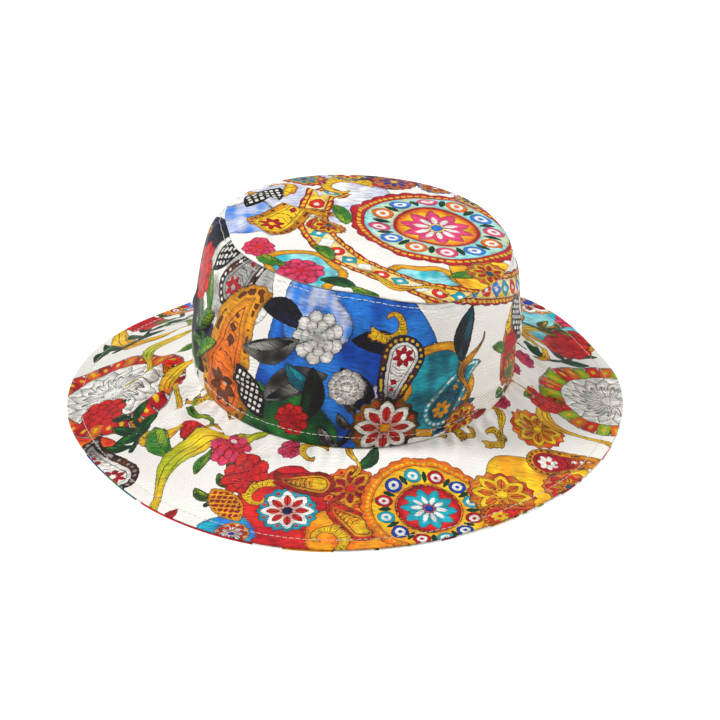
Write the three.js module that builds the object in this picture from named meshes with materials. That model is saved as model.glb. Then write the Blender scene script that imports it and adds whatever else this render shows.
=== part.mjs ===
// A soft cloth hat with a flat oval crown and a wide brim, standing on its brim.
// Millimetres. X runs from the left side to the right side, Y from the front (-Y) to the back, Z up.
// Angles run round the hat from its right side (+X) towards its back (+Y).
import * as THREE from 'three';

// Cloth
const CROWN_CLOTH = 1.2;      // thickness of the crown's backed cotton
const BRIM_CLOTH = 1.0;       // thickness of each of the brim's two cloths
const GAP = 0.3;              // clearance between two cloths that touch
const TOP_ALLOWANCE = 8;      // cloth of the crown tip turned down inside the side band
const BASE_ALLOWANCE = 8;     // cloth of the brim turned up inside the side band
const EDGE_ROUND = 0.4;       // bevel of a turned edge
const HEM = 5;                // width of the rim that lies flat on the table
const TIP_DOME = 3.0;         // rise of the tip's middle over the plane of its seam
const TIP_ROLL = 1.6;         // drop of the tip's last stretch into its seam
const ROLL_START = 0.86;      // share of the way out from the tip's middle at which that drop starts
const BRIM_DISH = 0.2;        // share of the brim's climb that comes late, which dishes the brim
const SEGMENTS = 66;          // facets round the hat

// Seams. Each is an oval: its middle, its half width and half length, the height of its middle,
// and how much higher than the middle its right side and its back stand.
const SEAMS = {
  rim: { x: 0, y: -2, halfWidth: 152.3, halfLength: 162.6, height: 0, riseRight: 0, riseBack: 0 },
  base: { x: 4.3, y: 1.6, halfWidth: 88.4, halfLength: 98.4, height: 24.0, riseRight: -1.4, riseBack: 3.7 },
  top: { x: 12.6, y: -9.6, halfWidth: 77.0, halfLength: 82.3, height: 104.0, riseRight: -8.7, riseBack: -0.9 },
};

// Rim sections: how far the rim reaches beyond its oval, how far it lifts off the table,
// and how far the middle of the brim sags under a straight line from rim to crown.
const RIM_SECTIONS = [
  { angle: 6, reach: 1.1, lift: 0.0, sag: 4.0 },
  { angle: 22, reach: 0.0, lift: 0.0, sag: 3.0 },
  { angle: 45, reach: 4.5, lift: 0.8, sag: 2.0 },
  { angle: 75, reach: 2.5, lift: 0.6, sag: 1.5 },
  { angle: 105, reach: -3.0, lift: 0.0, sag: 1.0 },
  { angle: 132, reach: -7.5, lift: 0.0, sag: 1.0 },
  { angle: 149, reach: -2.2, lift: 0.0, sag: 0.0 },
  { angle: 164, reach: 1.8, lift: 0.0, sag: -1.0 },
  { angle: 188, reach: 1.6, lift: 0.0, sag: -1.5 },
  { angle: 213, reach: -1.8, lift: 0.0, sag: -0.5 },
  { angle: 232, reach: 0.6, lift: 0.0, sag: 0.5 },
  { angle: 259, reach: 2.6, lift: 0.0, sag: 1.0 },
  { angle: 282, reach: 0.2, lift: 0.0, sag: 1.0 },
  { angle: 306, reach: -1.6, lift: 0.9, sag: 1.5 },
  { angle: 324, reach: -1.2, lift: 0.6, sag: 2.5 },
  { angle: 345, reach: -0.8, lift: 0.0, sag: 3.5 },
];

// Tip sections: how far the tip's seam reaches beyond its oval, and how far it rises over its plane.
const TIP_SECTIONS = [
  { angle: 0, reach: -1.0, rise: 0.0 },
  { angle: 23, reach: -0.3, rise: 0.0 },
  { angle: 43, reach: 2.0, rise: 0.0 },
  { angle: 63, reach: 1.5, rise: 0.0 },
  { angle: 82, reach: -0.8, rise: 0.0 },
  { angle: 108, reach: -3.2, rise: 0.0 },
  { angle: 135, reach: -2.8, rise: 0.0 },
  { angle: 152, reach: -1.0, rise: 0.0 },
  { angle: 168, reach: 1.2, rise: 0.0 },
  { angle: 190, reach: -1.0, rise: 0.0 },
  { angle: 206, reach: 0.5, rise: 0.0 },
  { angle: 226, reach: -1.2, rise: 0.0 },
  { angle: 248, reach: -1.6, rise: 0.6 },
  { angle: 266, reach: -2.0, rise: 1.6 },
  { angle: 283, reach: 0.4, rise: 0.0 },
  { angle: 298, reach: 2.2, rise: -1.4 },
  { angle: 315, reach: 1.4, rise: -0.2 },
  { angle: 338, reach: -0.4, rise: 0.0 },
];

// Crown sections: how far the side band bulges out at four heights between its two seams.
const CROWN_SECTIONS = [
  { angle: 0, low: 1.0, middle: 3.6, high: 3.6, shoulder: 1.6 },
  { angle: 45, low: 1.6, middle: 3.2, high: 2.6, shoulder: 1.0 },
  { angle: 90, low: 2.0, middle: 3.6, high: 3.2, shoulder: 1.6 },
  { angle: 135, low: 3.4, middle: 5.2, high: 5.4, shoulder: 3.6 },
  { angle: 180, low: 4.6, middle: 7.0, high: 7.2, shoulder: 4.6 },
  { angle: 225, low: 3.6, middle: 5.4, high: 5.0, shoulder: 2.8 },
  { angle: 270, low: 2.4, middle: 4.0, high: 3.6, shoulder: 1.6 },
  { angle: 315, low: 1.8, middle: 3.4, high: 2.4, shoulder: 1.0 },
];
const BULGE_HEIGHTS = { low: 0.22, middle: 0.52, high: 0.82, shoulder: 0.94 };

// Folds. A fold is a ridge (positive depth) or a groove (negative depth) along a short line. Its depth
// fades over its width to either side and over half its length to either end. Lean, in degrees, turns it.
// On the side band a fold lies level before its lean, and height is its share of the way up.
const BAND_FOLDS = [
  { angle: 355, height: 0.38, length: 52, width: 6.0, depth: 2.2, lean: 3 },
  { angle: 355, height: 0.26, length: 56, width: 4.5, depth: -3.0, lean: 3 },
  { angle: 212, height: 0.36, length: 46, width: 5.0, depth: 1.3, lean: 14 },
  { angle: 214, height: 0.47, length: 40, width: 4.5, depth: -1.1, lean: 24 },
  { angle: 206, height: 0.60, length: 38, width: 5.0, depth: 1.0, lean: 40 },
  { angle: 305, height: 0.42, length: 60, width: 7.0, depth: -1.2, lean: 8 },
  { angle: 110, height: 0.35, length: 54, width: 7.0, depth: -1.6, lean: -10 },
];
// On the brim a fold runs from rim to crown before its lean, and across is its share of the way in.
const BRIM_FOLDS = [
  { angle: 264, across: 0.66, length: 50, width: 10, depth: -1.8, lean: 0 },
  { angle: 250, across: 0.70, length: 44, width: 9, depth: 1.2, lean: 8 },
  { angle: 224, across: 0.84, length: 40, width: 5, depth: -1.3, lean: 82 },
  { angle: 204, across: 0.55, length: 46, width: 9, depth: -1.2, lean: -12 },
  { angle: 189, across: 0.80, length: 30, width: 6, depth: -1.4, lean: 6 },
  { angle: 2, across: 0.68, length: 36, width: 8, depth: -1.8, lean: 16 },
  { angle: 335, across: 0.60, length: 50, width: 11, depth: 1.4, lean: 0 },
  { angle: 285, across: 0.60, length: 46, width: 11, depth: 1.0, lean: -6 },
  { angle: 118, across: 0.60, length: 48, width: 12, depth: -1.5, lean: 0 },
  { angle: 70, across: 0.60, length: 48, width: 12, depth: 1.5, lean: 0 },
];
// On the tip a fold runs from left to right before its lean, and x and y are its middle.
const TIP_FOLDS = [
  { x: -34, y: 1, length: 62, width: 7, depth: 1.5, lean: -38 },
  { x: -14, y: 21, length: 46, width: 6, depth: 1.2, lean: -34 },
  { x: -49, y: -26, length: 34, width: 5.5, depth: 1.0, lean: -62 },
  { x: 30, y: -4, length: 60, width: 9, depth: -0.8, lean: -20 },
];

const UP = new THREE.Vector3(0, 0, 1);

// A smooth closed curve through one column of a table whose rows go round the hat.
function roundTable(rows, column) {
  const count = rows.length;
  const at = (i) => rows[((i % count) + count) % count][column];
  const angleOf = (i) => rows[((i % count) + count) % count].angle + 360 * Math.floor(i / count);
  return (angle) => {
    const degrees = ((THREE.MathUtils.radToDeg(angle) % 360) + 360) % 360;
    let i = -1;
    while (i + 1 < count && rows[i + 1].angle <= degrees) i += 1;
    const span = angleOf(i + 1) - angleOf(i);
    const s = (degrees - angleOf(i)) / span;
    const slopeStart = span * (at(i + 1) - at(i - 1)) / (angleOf(i + 1) - angleOf(i - 1));
    const slopeEnd = span * (at(i + 2) - at(i)) / (angleOf(i + 2) - angleOf(i));
    return hermite(at(i), at(i + 1), slopeStart, slopeEnd, s);
  };
}

// A cubic from one value to the next with the given slopes, for s from 0 to 1.
function hermite(from, to, slopeStart, slopeEnd, s) {
  return from * (1 + 2 * s) * (1 - s) ** 2 + slopeStart * s * (1 - s) ** 2
    + to * s * s * (3 - 2 * s) - slopeEnd * s * s * (1 - s);
}

// A fold's height at a place that is `along` and `across` millimetres from its middle.
function foldHeight(fold, along, across) {
  const lean = THREE.MathUtils.degToRad(fold.lean);
  const down = along * Math.cos(lean) + across * Math.sin(lean);
  const over = across * Math.cos(lean) - along * Math.sin(lean);
  return fold.depth * Math.exp(-((over / fold.width) ** 2) - (down / (0.5 * fold.length)) ** 4);
}

const rimReach = roundTable(RIM_SECTIONS, 'reach');
const rimLift = roundTable(RIM_SECTIONS, 'lift');
const brimSag = roundTable(RIM_SECTIONS, 'sag');
const tipReach = roundTable(TIP_SECTIONS, 'reach');
const tipRise = roundTable(TIP_SECTIONS, 'rise');
const bulgeAt = Object.fromEntries(
  Object.keys(BULGE_HEIGHTS).map((name) => [name, roundTable(CROWN_SECTIONS, name)]),
);

// The outward level direction of an oval seam.
function outward(seam, angle) {
  return new THREE.Vector3(Math.cos(angle) / seam.halfWidth, Math.sin(angle) / seam.halfLength, 0).normalize();
}

// A point of an oval seam.
function seamPoint(seam, angle) {
  const c = Math.cos(angle);
  const s = Math.sin(angle);
  return new THREE.Vector3(
    seam.x + seam.halfWidth * c,
    seam.y + seam.halfLength * s,
    seam.height + seam.riseRight * c + seam.riseBack * s,
  );
}

// The direction square to the plane of the crown tip's seam.
const TIP_UP = new THREE.Vector3(
  -SEAMS.top.riseRight / SEAMS.top.halfWidth,
  -SEAMS.top.riseBack / SEAMS.top.halfLength,
  1,
).normalize();

// A point of the crown tip's seam.
function tipSeam(angle) {
  return seamPoint(SEAMS.top, angle)
    .addScaledVector(outward(SEAMS.top, angle), tipReach(angle)).addScaledVector(TIP_UP, tipRise(angle));
}

const BRIM_THICKNESS = 2 * BRIM_CLOTH + GAP;
const RIM_RADIUS = 0.5 * (SEAMS.rim.halfWidth + SEAMS.rim.halfLength);
const BASE_RADIUS = 0.5 * (SEAMS.base.halfWidth + SEAMS.base.halfLength);
const TIP_RADIUS = 0.5 * (SEAMS.top.halfWidth + SEAMS.top.halfLength);
const BRIM_WIDTH = RIM_RADIUS - BASE_RADIUS;
const BAND_HEIGHT = SEAMS.top.height - SEAMS.base.height;
const HEM_SHARE = HEM / BRIM_WIDTH;
const TOP_TURN = 1 - TOP_ALLOWANCE / BAND_HEIGHT;
const BASE_TURN = BASE_ALLOWANCE / BAND_HEIGHT;

// The brim's upper face, from the rim (across = 0) to the crown's seam (across = 1).
function brimFace(angle, across) {
  const rim = seamPoint(SEAMS.rim, angle).addScaledVector(outward(SEAMS.rim, angle), rimReach(angle));
  const base = seamPoint(SEAMS.base, angle);
  const point = rim.lerp(base, across);
  const lift = Math.max(0, rimLift(angle));
  const s = Math.max(0, (across - HEM_SHARE) / (1 - HEM_SHARE));
  const climb = (1 - BRIM_DISH) * s + BRIM_DISH * s * s;
  let fold = 0;
  for (const row of BRIM_FOLDS) {
    const turn = angleBetween(angle, row.angle);
    const along = turn * THREE.MathUtils.lerp(RIM_RADIUS, BASE_RADIUS, across);
    fold += foldHeight(row, (across - row.across) * BRIM_WIDTH, along);
  }
  const fade = s * (1 - s) * 4;
  point.z = BRIM_THICKNESS + lift * (1 - s) ** 2 + (base.z - BRIM_THICKNESS) * climb
    - brimSag(angle) * fade + fold * Math.min(1, 2 * fade);
  return point;
}

// The signed angle from a table's angle, in degrees, to an angle in radians.
function angleBetween(angle, degrees) {
  const turn = angle - THREE.MathUtils.degToRad(degrees);
  return Math.atan2(Math.sin(turn), Math.cos(turn));
}

// The side band's outer face, from the brim's seam (up = 0) to the tip's seam (up = 1).
function bandFace(angle, up) {
  const low = seamPoint(SEAMS.base, angle).addScaledVector(UP, GAP);
  const high = tipSeam(angle).addScaledVector(TIP_UP, -(CROWN_CLOTH + GAP));
  const stops = [0, ...Object.values(BULGE_HEIGHTS), 1];
  const values = [0, ...Object.values(bulgeAt).map((column) => column(angle)), 0];
  let bulge = throughStops(stops, values, up);
  for (const row of BAND_FOLDS) {
    const along = angleBetween(angle, row.angle) * BASE_RADIUS;
    bulge += foldHeight(row, along, (up - row.height) * BAND_HEIGHT) * Math.min(1, 8 * up, 8 * (1 - up));
  }
  return low.lerp(high, up).addScaledVector(outward(SEAMS.base, angle), bulge);
}

// A smooth curve through values at rising stops.
function throughStops(stops, values, s) {
  let i = 0;
  while (i < stops.length - 2 && stops[i + 1] < s) i += 1;
  const span = stops[i + 1] - stops[i];
  const slope = (k) => {
    const a = Math.max(0, k - 1);
    const b = Math.min(stops.length - 1, k + 1);
    return span * (values[b] - values[a]) / (stops[b] - stops[a]);
  };
  return hermite(values[i], values[i + 1], slope(i), slope(i + 1), (s - stops[i]) / span);
}

// The tip's upper face, from its middle (out = 0) to its seam (out = 1).
function tipFace(angle, out) {
  const seam = SEAMS.top;
  const middle = new THREE.Vector3(seam.x, seam.y, seam.height);
  const point = middle.lerp(tipSeam(angle), out);
  const roll = THREE.MathUtils.smoothstep(out, ROLL_START, 1);
  let rise = TIP_DOME * (1 - out * out) + TIP_ROLL * (1 - roll) * out * out;
  for (const row of TIP_FOLDS) {
    rise += foldHeight(row, point.x - row.x, point.y - row.y) * Math.min(1, 6 * (1 - out));
  }
  return point.addScaledVector(TIP_UP, rise);
}

// The direction out of a face, from its slopes round and along the section.
function normalOf(face, angle, s) {
  const step = 1e-3;
  const before = Math.max(0, s - step);
  const after = Math.min(1, s + step);
  const round = face(angle + step, s).sub(face(angle - step, s));
  const along = face(angle, after).sub(face(angle, before));
  return round.cross(along).normalize();
}

// A point at a depth under the side band's outer face. The band's lower edge is cut level.
function underBand(angle, up, depth) {
  const normal = up > 0 ? normalOf(bandFace, angle, up) : outward(SEAMS.base, angle);
  return bandFace(angle, up).addScaledVector(normal, -depth);
}

// A point at a depth under the brim's upper face. The hem lies flat.
function underBrim(angle, across, depth) {
  const flat = across <= HEM_SHARE;
  const normal = flat ? UP : normalOf(brimFace, angle, across);
  return brimFace(angle, across).addScaledVector(normal, -depth);
}

// Turns a section into a ring or a cap, and moves each vertex to the place that its own angle gives.
// place(row, angle) returns the point of a section's row at an angle.
function turned(rows, place) {
  const profile = rows.map((row) => {
    const point = place(row, 0);
    return new THREE.Vector2(Math.hypot(point.x, point.y), point.z);
  });
  const geometry = new THREE.LatheGeometry(profile, SEGMENTS);
  const position = geometry.getAttribute('position');
  for (let i = 0; i < position.count; i += 1) {
    const turn = Math.floor(i / rows.length) % SEGMENTS;
    const point = place(rows[i % rows.length], (2 * Math.PI * turn) / SEGMENTS);
    position.setXYZ(i, point.x, point.y, point.z);
  }
  bendAlike(geometry.getIndex(), rows);
  geometry.computeVertexNormals();
  return geometry;
}

// Cuts each four-sided patch between two under rows along its other diagonal, so that the under face
// of one cloth and the upper face of the cloth inside it bend alike and keep their gap.
function bendAlike(index, rows) {
  for (let i = 0; i < index.count; i += 6) {
    const row = (i / 6) % (rows.length - 1);
    if (rows[row].under && rows[row + 1].under) {
      const [a, b, d, c] = [0, 1, 2, 3].map((k) => index.getX(i + k));
      [a, b, c, a, c, d].forEach((vertex, k) => index.setX(i + k, vertex));
    }
  }
}

const TIP_STATIONS = [0, 0.22, 0.42, 0.6, 0.76, 0.89, 0.96];
const BAND_STATIONS = [0, BASE_TURN / 2, BASE_TURN, 0.2, 0.32, 0.45, 0.58, 0.7, 0.81, TOP_TURN, (1 + TOP_TURN) / 2, 1];
const BRIM_STATIONS = [0, HEM_SHARE, 0.2, 0.36, 0.54, 0.72, 0.88, 1];

// The crown tip: a low dome whose edge is turned down inside the side band.
function crownTip() {
  const edge = 1 - EDGE_ROUND / TIP_RADIUS;
  const inset = 1 - (CROWN_CLOTH + GAP) / TIP_RADIUS;
  const fold = CROWN_CLOTH + GAP;
  const turnedDown = BAND_STATIONS.filter((up) => up >= TOP_TURN);
  const tip = (out, depth) => ({ at: (angle) => tipFace(angle, out).addScaledVector(TIP_UP, -depth) });
  const inside = (up, depth) => ({ at: (angle) => underBand(angle, up, depth) });
  const rows = [
    ...TIP_STATIONS.map((out) => tip(out, 0)),
    tip(edge, 0), tip(1, EDGE_ROUND), tip(1, CROWN_CLOTH), tip(inset, CROWN_CLOTH),
    ...[...turnedDown].reverse().map((up) => inside(up, fold)),
    ...turnedDown.map((up) => inside(up, fold + CROWN_CLOTH)),
    ...TIP_STATIONS.slice(0, -1).reverse().map((out) => tip(out, CROWN_CLOTH)),
  ];
  return turned(rows.reverse(), (row, angle) => row.at(angle));
}

// The side band: one wall from the brim's seam to the tip's seam.
function crownSide() {
  const rows = [
    ...BAND_STATIONS.map((up) => ({ up, depth: 0 })),
    ...[...BAND_STATIONS].reverse().map((up) => ({ up, depth: CROWN_CLOTH, under: true })),
  ];
  rows.push(rows[0]);
  return turned(rows, (row, angle) => underBand(angle, row.up, row.depth));
}

// Marks rows as belonging to a cloth's under face.
function under(rows) {
  return rows.map((row) => ({ ...row, under: true }));
}

// One cloth of the brim, between two depths under the upper face, its inner edge turned up in the crown.
function brimCloth(from, to, roundEdge) {
  const inside = CROWN_CLOTH + GAP;
  const turnedUp = BAND_STATIONS.filter((up) => up > 0 && up <= BASE_TURN);
  const corner = (depth) => ({
    at: (angle) => seamPoint(SEAMS.base, angle)
      .addScaledVector(outward(SEAMS.base, angle), -(inside + depth)).addScaledVector(UP, -depth),
  });
  const within = (up, depth) => ({ at: (angle) => underBand(angle, up, inside + depth) });
  const across = (share, depth) => ({ at: (angle) => underBrim(angle, share, depth) });
  const rim = roundEdge
    ? [across(0, from + EDGE_ROUND), across(EDGE_ROUND / BRIM_WIDTH, from)]
    : [across(0, from)];
  const rows = [
    ...rim,
    ...BRIM_STATIONS.slice(1).map((share) => across(share, from)),
    corner(from), ...turnedUp.map((up) => within(up, from)),
    ...under([...[...turnedUp].reverse().map((up) => within(up, to)), corner(to)]),
    ...under([...BRIM_STATIONS].reverse().map((share) => across(share, to))),
  ];
  rows.push(rows[0]);
  return turned(rows, (row, angle) => row.at(angle));
}

// A named piece with a cotton finish of its own colour.
function piece(name, geometry, colour) {
  const mesh = new THREE.Mesh(geometry, new THREE.MeshStandardMaterial({ color: colour, roughness: 0.85, metalness: 0 }));
  mesh.name = name;
  return mesh;
}

const hat = new THREE.Group();
hat.add(piece('crown_tip', crownTip(), 0xe9e4d6));
hat.add(piece('crown_side', crownSide(), 0x2f7fb5));
hat.add(piece('brim_top_cloth', brimCloth(0, BRIM_CLOTH, true), 0xf0ebdf));
hat.add(piece('brim_under_cloth', brimCloth(BRIM_CLOTH + GAP, BRIM_THICKNESS, false), 0xc8402f));

// The origin lies under the middle of the hat, on the table.
const box = new THREE.Box3().setFromObject(hat);
const middle = box.getCenter(new THREE.Vector3());
hat.position.set(-middle.x, -middle.y, -box.min.z);

export default hat;
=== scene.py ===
"""Looks of a wide-brim cloth hat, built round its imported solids.

Tables and shape functions are in millimetres and in the frame of the rim's seam; meshes are in metres and in
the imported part's frame. X runs to the hat's right, Y to its back, Z up. Angles run round the hat from +X
towards +Y. A surface is a function of the angle and of a share from one of its edges to the other.
"""
import logging
import math
from dataclasses import dataclass, field
from enum import Enum
from typing import Callable, NamedTuple, Sequence

import bpy
import numpy as np
from bpy.types import Material, Mesh, Node, NodeTree, Object
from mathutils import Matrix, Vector

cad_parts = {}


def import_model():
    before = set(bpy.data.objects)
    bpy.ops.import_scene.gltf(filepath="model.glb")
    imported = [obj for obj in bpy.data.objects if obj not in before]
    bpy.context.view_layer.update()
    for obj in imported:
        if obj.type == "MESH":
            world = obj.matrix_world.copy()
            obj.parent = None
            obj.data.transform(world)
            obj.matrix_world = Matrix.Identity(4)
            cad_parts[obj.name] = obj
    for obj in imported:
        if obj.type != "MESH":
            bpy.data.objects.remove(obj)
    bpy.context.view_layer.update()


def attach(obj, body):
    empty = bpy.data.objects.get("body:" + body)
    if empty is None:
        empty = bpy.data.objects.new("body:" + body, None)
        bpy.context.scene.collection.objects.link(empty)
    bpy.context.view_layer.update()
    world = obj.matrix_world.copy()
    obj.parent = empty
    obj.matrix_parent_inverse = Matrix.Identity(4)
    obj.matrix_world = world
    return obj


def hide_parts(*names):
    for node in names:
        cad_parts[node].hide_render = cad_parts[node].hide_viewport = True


LOG = logging.getLogger("hat")
MM = 0.001
TURN = 2 * math.pi
BODY = "root"
PART_SHIFT = np.array([0.681, 2.778, 0.0])  # from the rim seam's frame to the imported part's frame
BACK = 90.0  # where the side band's closing seam runs, in degrees
Array = np.ndarray


# ---- The hat's form ----

class RimRow(NamedTuple):
    """How the rim departs from its oval, and how far the brim sags under a straight line."""

    angle: float
    rim_reach: float
    rim_lift: float
    sag: float


class TipRow(NamedTuple):
    """How the tip's seam departs from its oval and from its plane."""

    angle: float
    tip_reach: float
    tip_rise: float


class CrownRow(NamedTuple):
    """How far the side band bulges at four heights."""

    angle: float
    low: float
    middle: float
    high: float
    shoulder: float


class Fold(NamedTuple):
    """A ridge (positive depth) or groove on a cloth; a and b are its middle in the cloth's own terms."""

    a: float
    b: float
    length: float
    width: float
    depth: float
    lean: float


RIM_ROWS = [RimRow(*row) for row in (
    (6, 1.1, 0.0, 4.0), (22, 0.0, 0.0, 3.0), (45, 4.5, 0.8, 2.0), (75, 2.5, 0.6, 1.5),
    (105, -3.0, 0.0, 1.0), (132, -7.5, 0.0, 1.0), (149, -2.2, 0.0, 0.0), (164, 1.8, 0.0, -1.0),
    (188, 1.6, 0.0, -1.5), (213, -1.8, 0.0, -0.5), (232, 0.6, 0.0, 0.5), (259, 2.6, 0.0, 1.0),
    (282, 0.2, 0.0, 1.0), (306, -1.6, 0.9, 1.5), (324, -1.2, 0.6, 2.5), (345, -0.8, 0.0, 3.5))]
TIP_ROWS = [TipRow(*row) for row in (
    (0, -1.0, 0.0), (23, -0.3, 0.0), (43, 2.0, 0.0), (63, 1.5, 0.0), (82, -0.8, 0.0), (108, -3.2, 0.0),
    (135, -2.8, 0.0), (152, -1.0, 0.0), (168, 1.2, 0.0), (190, -1.0, 0.0), (206, 0.5, 0.0),
    (226, -1.2, 0.0), (248, -1.6, 0.6), (266, -2.0, 1.6), (283, 0.4, 0.0), (298, 2.2, -1.4),
    (315, 1.4, -0.2), (338, -0.4, 0.0))]
CROWN_ROWS = [CrownRow(*row) for row in (
    (0, 1.0, 3.6, 3.6, 1.6), (45, 1.6, 3.2, 2.6, 1.0), (90, 2.0, 3.6, 3.2, 1.6), (135, 3.4, 5.2, 5.4, 3.6),
    (180, 4.6, 7.0, 7.2, 4.6), (225, 3.6, 5.4, 5.0, 2.8), (270, 2.4, 4.0, 3.6, 1.6),
    (315, 1.8, 3.4, 2.4, 1.0))]
BULGE_STOPS = {"low": 0.22, "middle": 0.52, "high": 0.82, "shoulder": 0.94}
# On the band a is the angle in degrees and b the share of the way up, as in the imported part.
BAND_FOLDS = [Fold(*row) for row in (
    (355, 0.38, 52, 6.0, 2.2, 3), (355, 0.26, 56, 4.5, -3.0, 3), (212, 0.36, 46, 5.0, 1.3, 14),
    (214, 0.47, 40, 4.5, -1.1, 24), (206, 0.6, 38, 5.0, 1.0, 40), (305, 0.42, 60, 7.0, -1.2, 8),
    (110, 0.35, 54, 7.0, -1.6, -10))]
# Smaller creases of the band, which only show close by.
BAND_CREASES = [Fold(*row) for row in (
    (205, 0.28, 26, 2.86, 1.89, 32), (209, 0.22, 24, 2.34, -1.62, 34), (214, 0.28, 30, 2.86, 1.89, 28),
    (219, 0.2, 22, 2.34, -1.62, 22), (224, 0.3, 26, 3.12, 1.62, 18), (201, 0.46, 26, 2.86, 1.89, 52),
    (206, 0.5, 22, 2.34, -1.62, 56), (196, 0.36, 20, 2.86, 1.62, 70), (240, 0.16, 26, 3.12, 1.35, 10),
    (262, 0.12, 34, 3.38, -1.35, 2), (284, 0.18, 30, 3.38, 1.35, -6), (322, 0.2, 28, 3.38, 1.35, -10),
    (338, 0.34, 26, 3.38, -1.62, -6), (345, 0.5, 30, 4.16, 1.62, 4), (10, 0.44, 26, 3.38, 1.62, 8),
    (30, 0.3, 34, 4.16, -1.62, 6), (60, 0.4, 30, 4.16, 1.62, -8), (150, 0.34, 32, 3.9, 1.62, 12),
    (168, 0.28, 28, 3.38, -1.62, 20), (182, 0.44, 26, 3.38, 1.35, 34))]
# On the brim a is the angle in degrees and b the share of the way in from the rim.
BRIM_FOLDS = [Fold(*row) for row in (
    (264, 0.66, 50, 10, -1.8, 0), (250, 0.7, 44, 9, 1.2, 8), (224, 0.84, 40, 5, -1.9, 82),
    (204, 0.55, 46, 9, -1.9, -12), (189, 0.8, 30, 6, -2.2, 6), (2, 0.68, 36, 8, -1.8, 16),
    (335, 0.6, 50, 11, 1.4, 0), (285, 0.6, 46, 11, 1.0, -6), (118, 0.6, 48, 12, -1.5, 0),
    (70, 0.6, 48, 12, 1.5, 0))]
BRIM_CREASES = [Fold(*row) for row in (
    (184, 0.74, 30, 3.3, 5.28, -24), (191, 0.82, 24, 2.64, -4.29, -8), (198, 0.8, 28, 3.08, 5.28, 10),
    (203, 0.88, 18, 2.42, -2.97, 14), (210, 0.8, 30, 3.3, 4.62, 34), (219, 0.74, 30, 3.08, 3.96, 74),
    (231, 0.72, 54, 3.96, 4.29, 86), (214, 0.6, 34, 3.52, 3.3, 50), (240, 0.86, 30, 3.3, -2.97, 70),
    (228, 0.88, 22, 2.64, 1.98, 62), (236, 0.8, 24, 3.08, -1.98, 30), (246, 0.88, 18, 2.64, 1.65, -14),
    (258, 0.9, 18, 2.42, -1.65, 10), (271, 0.88, 20, 2.64, 1.65, 14), (290, 0.9, 18, 2.42, -1.65, -12),
    (303, 0.86, 20, 2.86, 1.65, 16), (318, 0.88, 22, 2.86, -1.98, -18), (330, 0.84, 22, 2.86, 1.98, 20),
    (344, 0.82, 26, 3.08, 2.31, -22), (352, 0.76, 28, 2.86, -2.64, 12), (8, 0.78, 26, 2.86, 2.31, 26),
    (16, 0.7, 24, 3.08, 1.98, -10), (30, 0.8, 22, 2.86, -1.65, 8), (52, 0.82, 22, 2.86, 1.65, -8),
    (84, 0.84, 20, 2.86, -1.65, 10), (102, 0.8, 24, 3.08, 1.65, -6), (136, 0.82, 22, 2.86, -1.65, 12),
    (158, 0.8, 26, 3.08, 1.98, -12), (172, 0.78, 24, 2.86, -1.98, 16))]
# On the tip a and b are the fold's middle in plan.
TIP_FOLDS = [Fold(*row) for row in (
    (-34, 0, 66, 7.5, 4.2, -38), (-12, 20, 54, 7, 3.4, -34), (-50, -26, 36, 6, 2.6, -62),
    (30, -4, 64, 9, -1.8, -20), (-2, -34, 50, 8, 1.6, -16), (46, 26, 40, 8, 1.8, 24))]
TIP_CREASES = [Fold(*row) for row in (
    (-34, 2, 58, 3.0, 0.8, -38), (-31, -6, 52, 3.4, -0.8, -38), (-14, 22, 42, 3.0, 0.7, -34),
    (-11, 14, 40, 3.2, -0.7, -34), (-49, -25, 32, 3.0, 0.7, -62), (-43, -29, 30, 3.2, -0.6, -62),
    (6, -44, 40, 3.4, 0.6, -8), (44, 30, 36, 3.4, 0.5, 24), (-56, 30, 34, 3.2, -0.5, 50))]


def hermite(start: Array, end: Array, slope_start: Array, slope_end: Array, s: Array) -> Array:
    """Cubic from start at s = 0 to end at s = 1, with the given slopes there."""
    back = 1 - s
    return (start * (1 + 2 * s) * back ** 2 + slope_start * s * back ** 2
            + end * s * s * (3 - 2 * s) - slope_end * s * s * back)


def round_curve(rows: Sequence[NamedTuple], column: str) -> Callable[[Array], Array]:
    """Makes a smooth closed curve through one column of rows that go round the hat.

    Each span is a cubic, and the slope at a row is that of the line between its two neighbours.

    Args:
        rows: Rows with an angle in degrees.
        column: Name of the column that the curve goes through.

    Returns:
        A function from an angle in radians to the column's value.
    """
    angles = np.array([row.angle for row in rows], float)
    values = np.tile([getattr(row, column) for row in rows], 3)
    stops = np.concatenate([angles - 360, angles, angles + 360])
    slopes = (np.roll(values, -1) - np.roll(values, 1)) / (np.roll(stops, -1) - np.roll(stops, 1))

    def curve(angle: Array) -> Array:
        """Returns the column's value at angles in radians."""
        degrees = np.degrees(angle) % 360
        i = np.searchsorted(stops, degrees, side="right") - 1
        span = stops[i + 1] - stops[i]
        return hermite(values[i], values[i + 1], span * slopes[i], span * slopes[i + 1],
                       (degrees - stops[i]) / span)

    return curve


def smooth(low: float, high: float, x: Array) -> Array:
    """Rises from 0 at low to 1 at high, level at both ends."""
    t = np.clip((x - low) / (high - low), 0, 1)
    return t * t * (3 - 2 * t)


def angle_between(angle: Array, degrees: float) -> Array:
    """Signed angle from a table's angle to angles in radians."""
    turn = angle - math.radians(degrees)
    return np.arctan2(np.sin(turn), np.cos(turn))


def fold_height(fold: Fold, along: Array, across: Array) -> Array:
    """Height of a fold: its depth times a bell over its width and a flat-topped bell over its length.

    Args:
        fold: The fold's row.
        along: Millimetres from the fold's middle along its line before its lean.
        across: Millimetres from that line.

    Returns:
        The height at each place.
    """
    lean = math.radians(fold.lean)
    down = along * math.cos(lean) + across * math.sin(lean)
    over = across * math.cos(lean) - along * math.sin(lean)
    return fold.depth * np.exp(-(over / fold.width) ** 2 - (down / (0.5 * fold.length)) ** 4)


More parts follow.
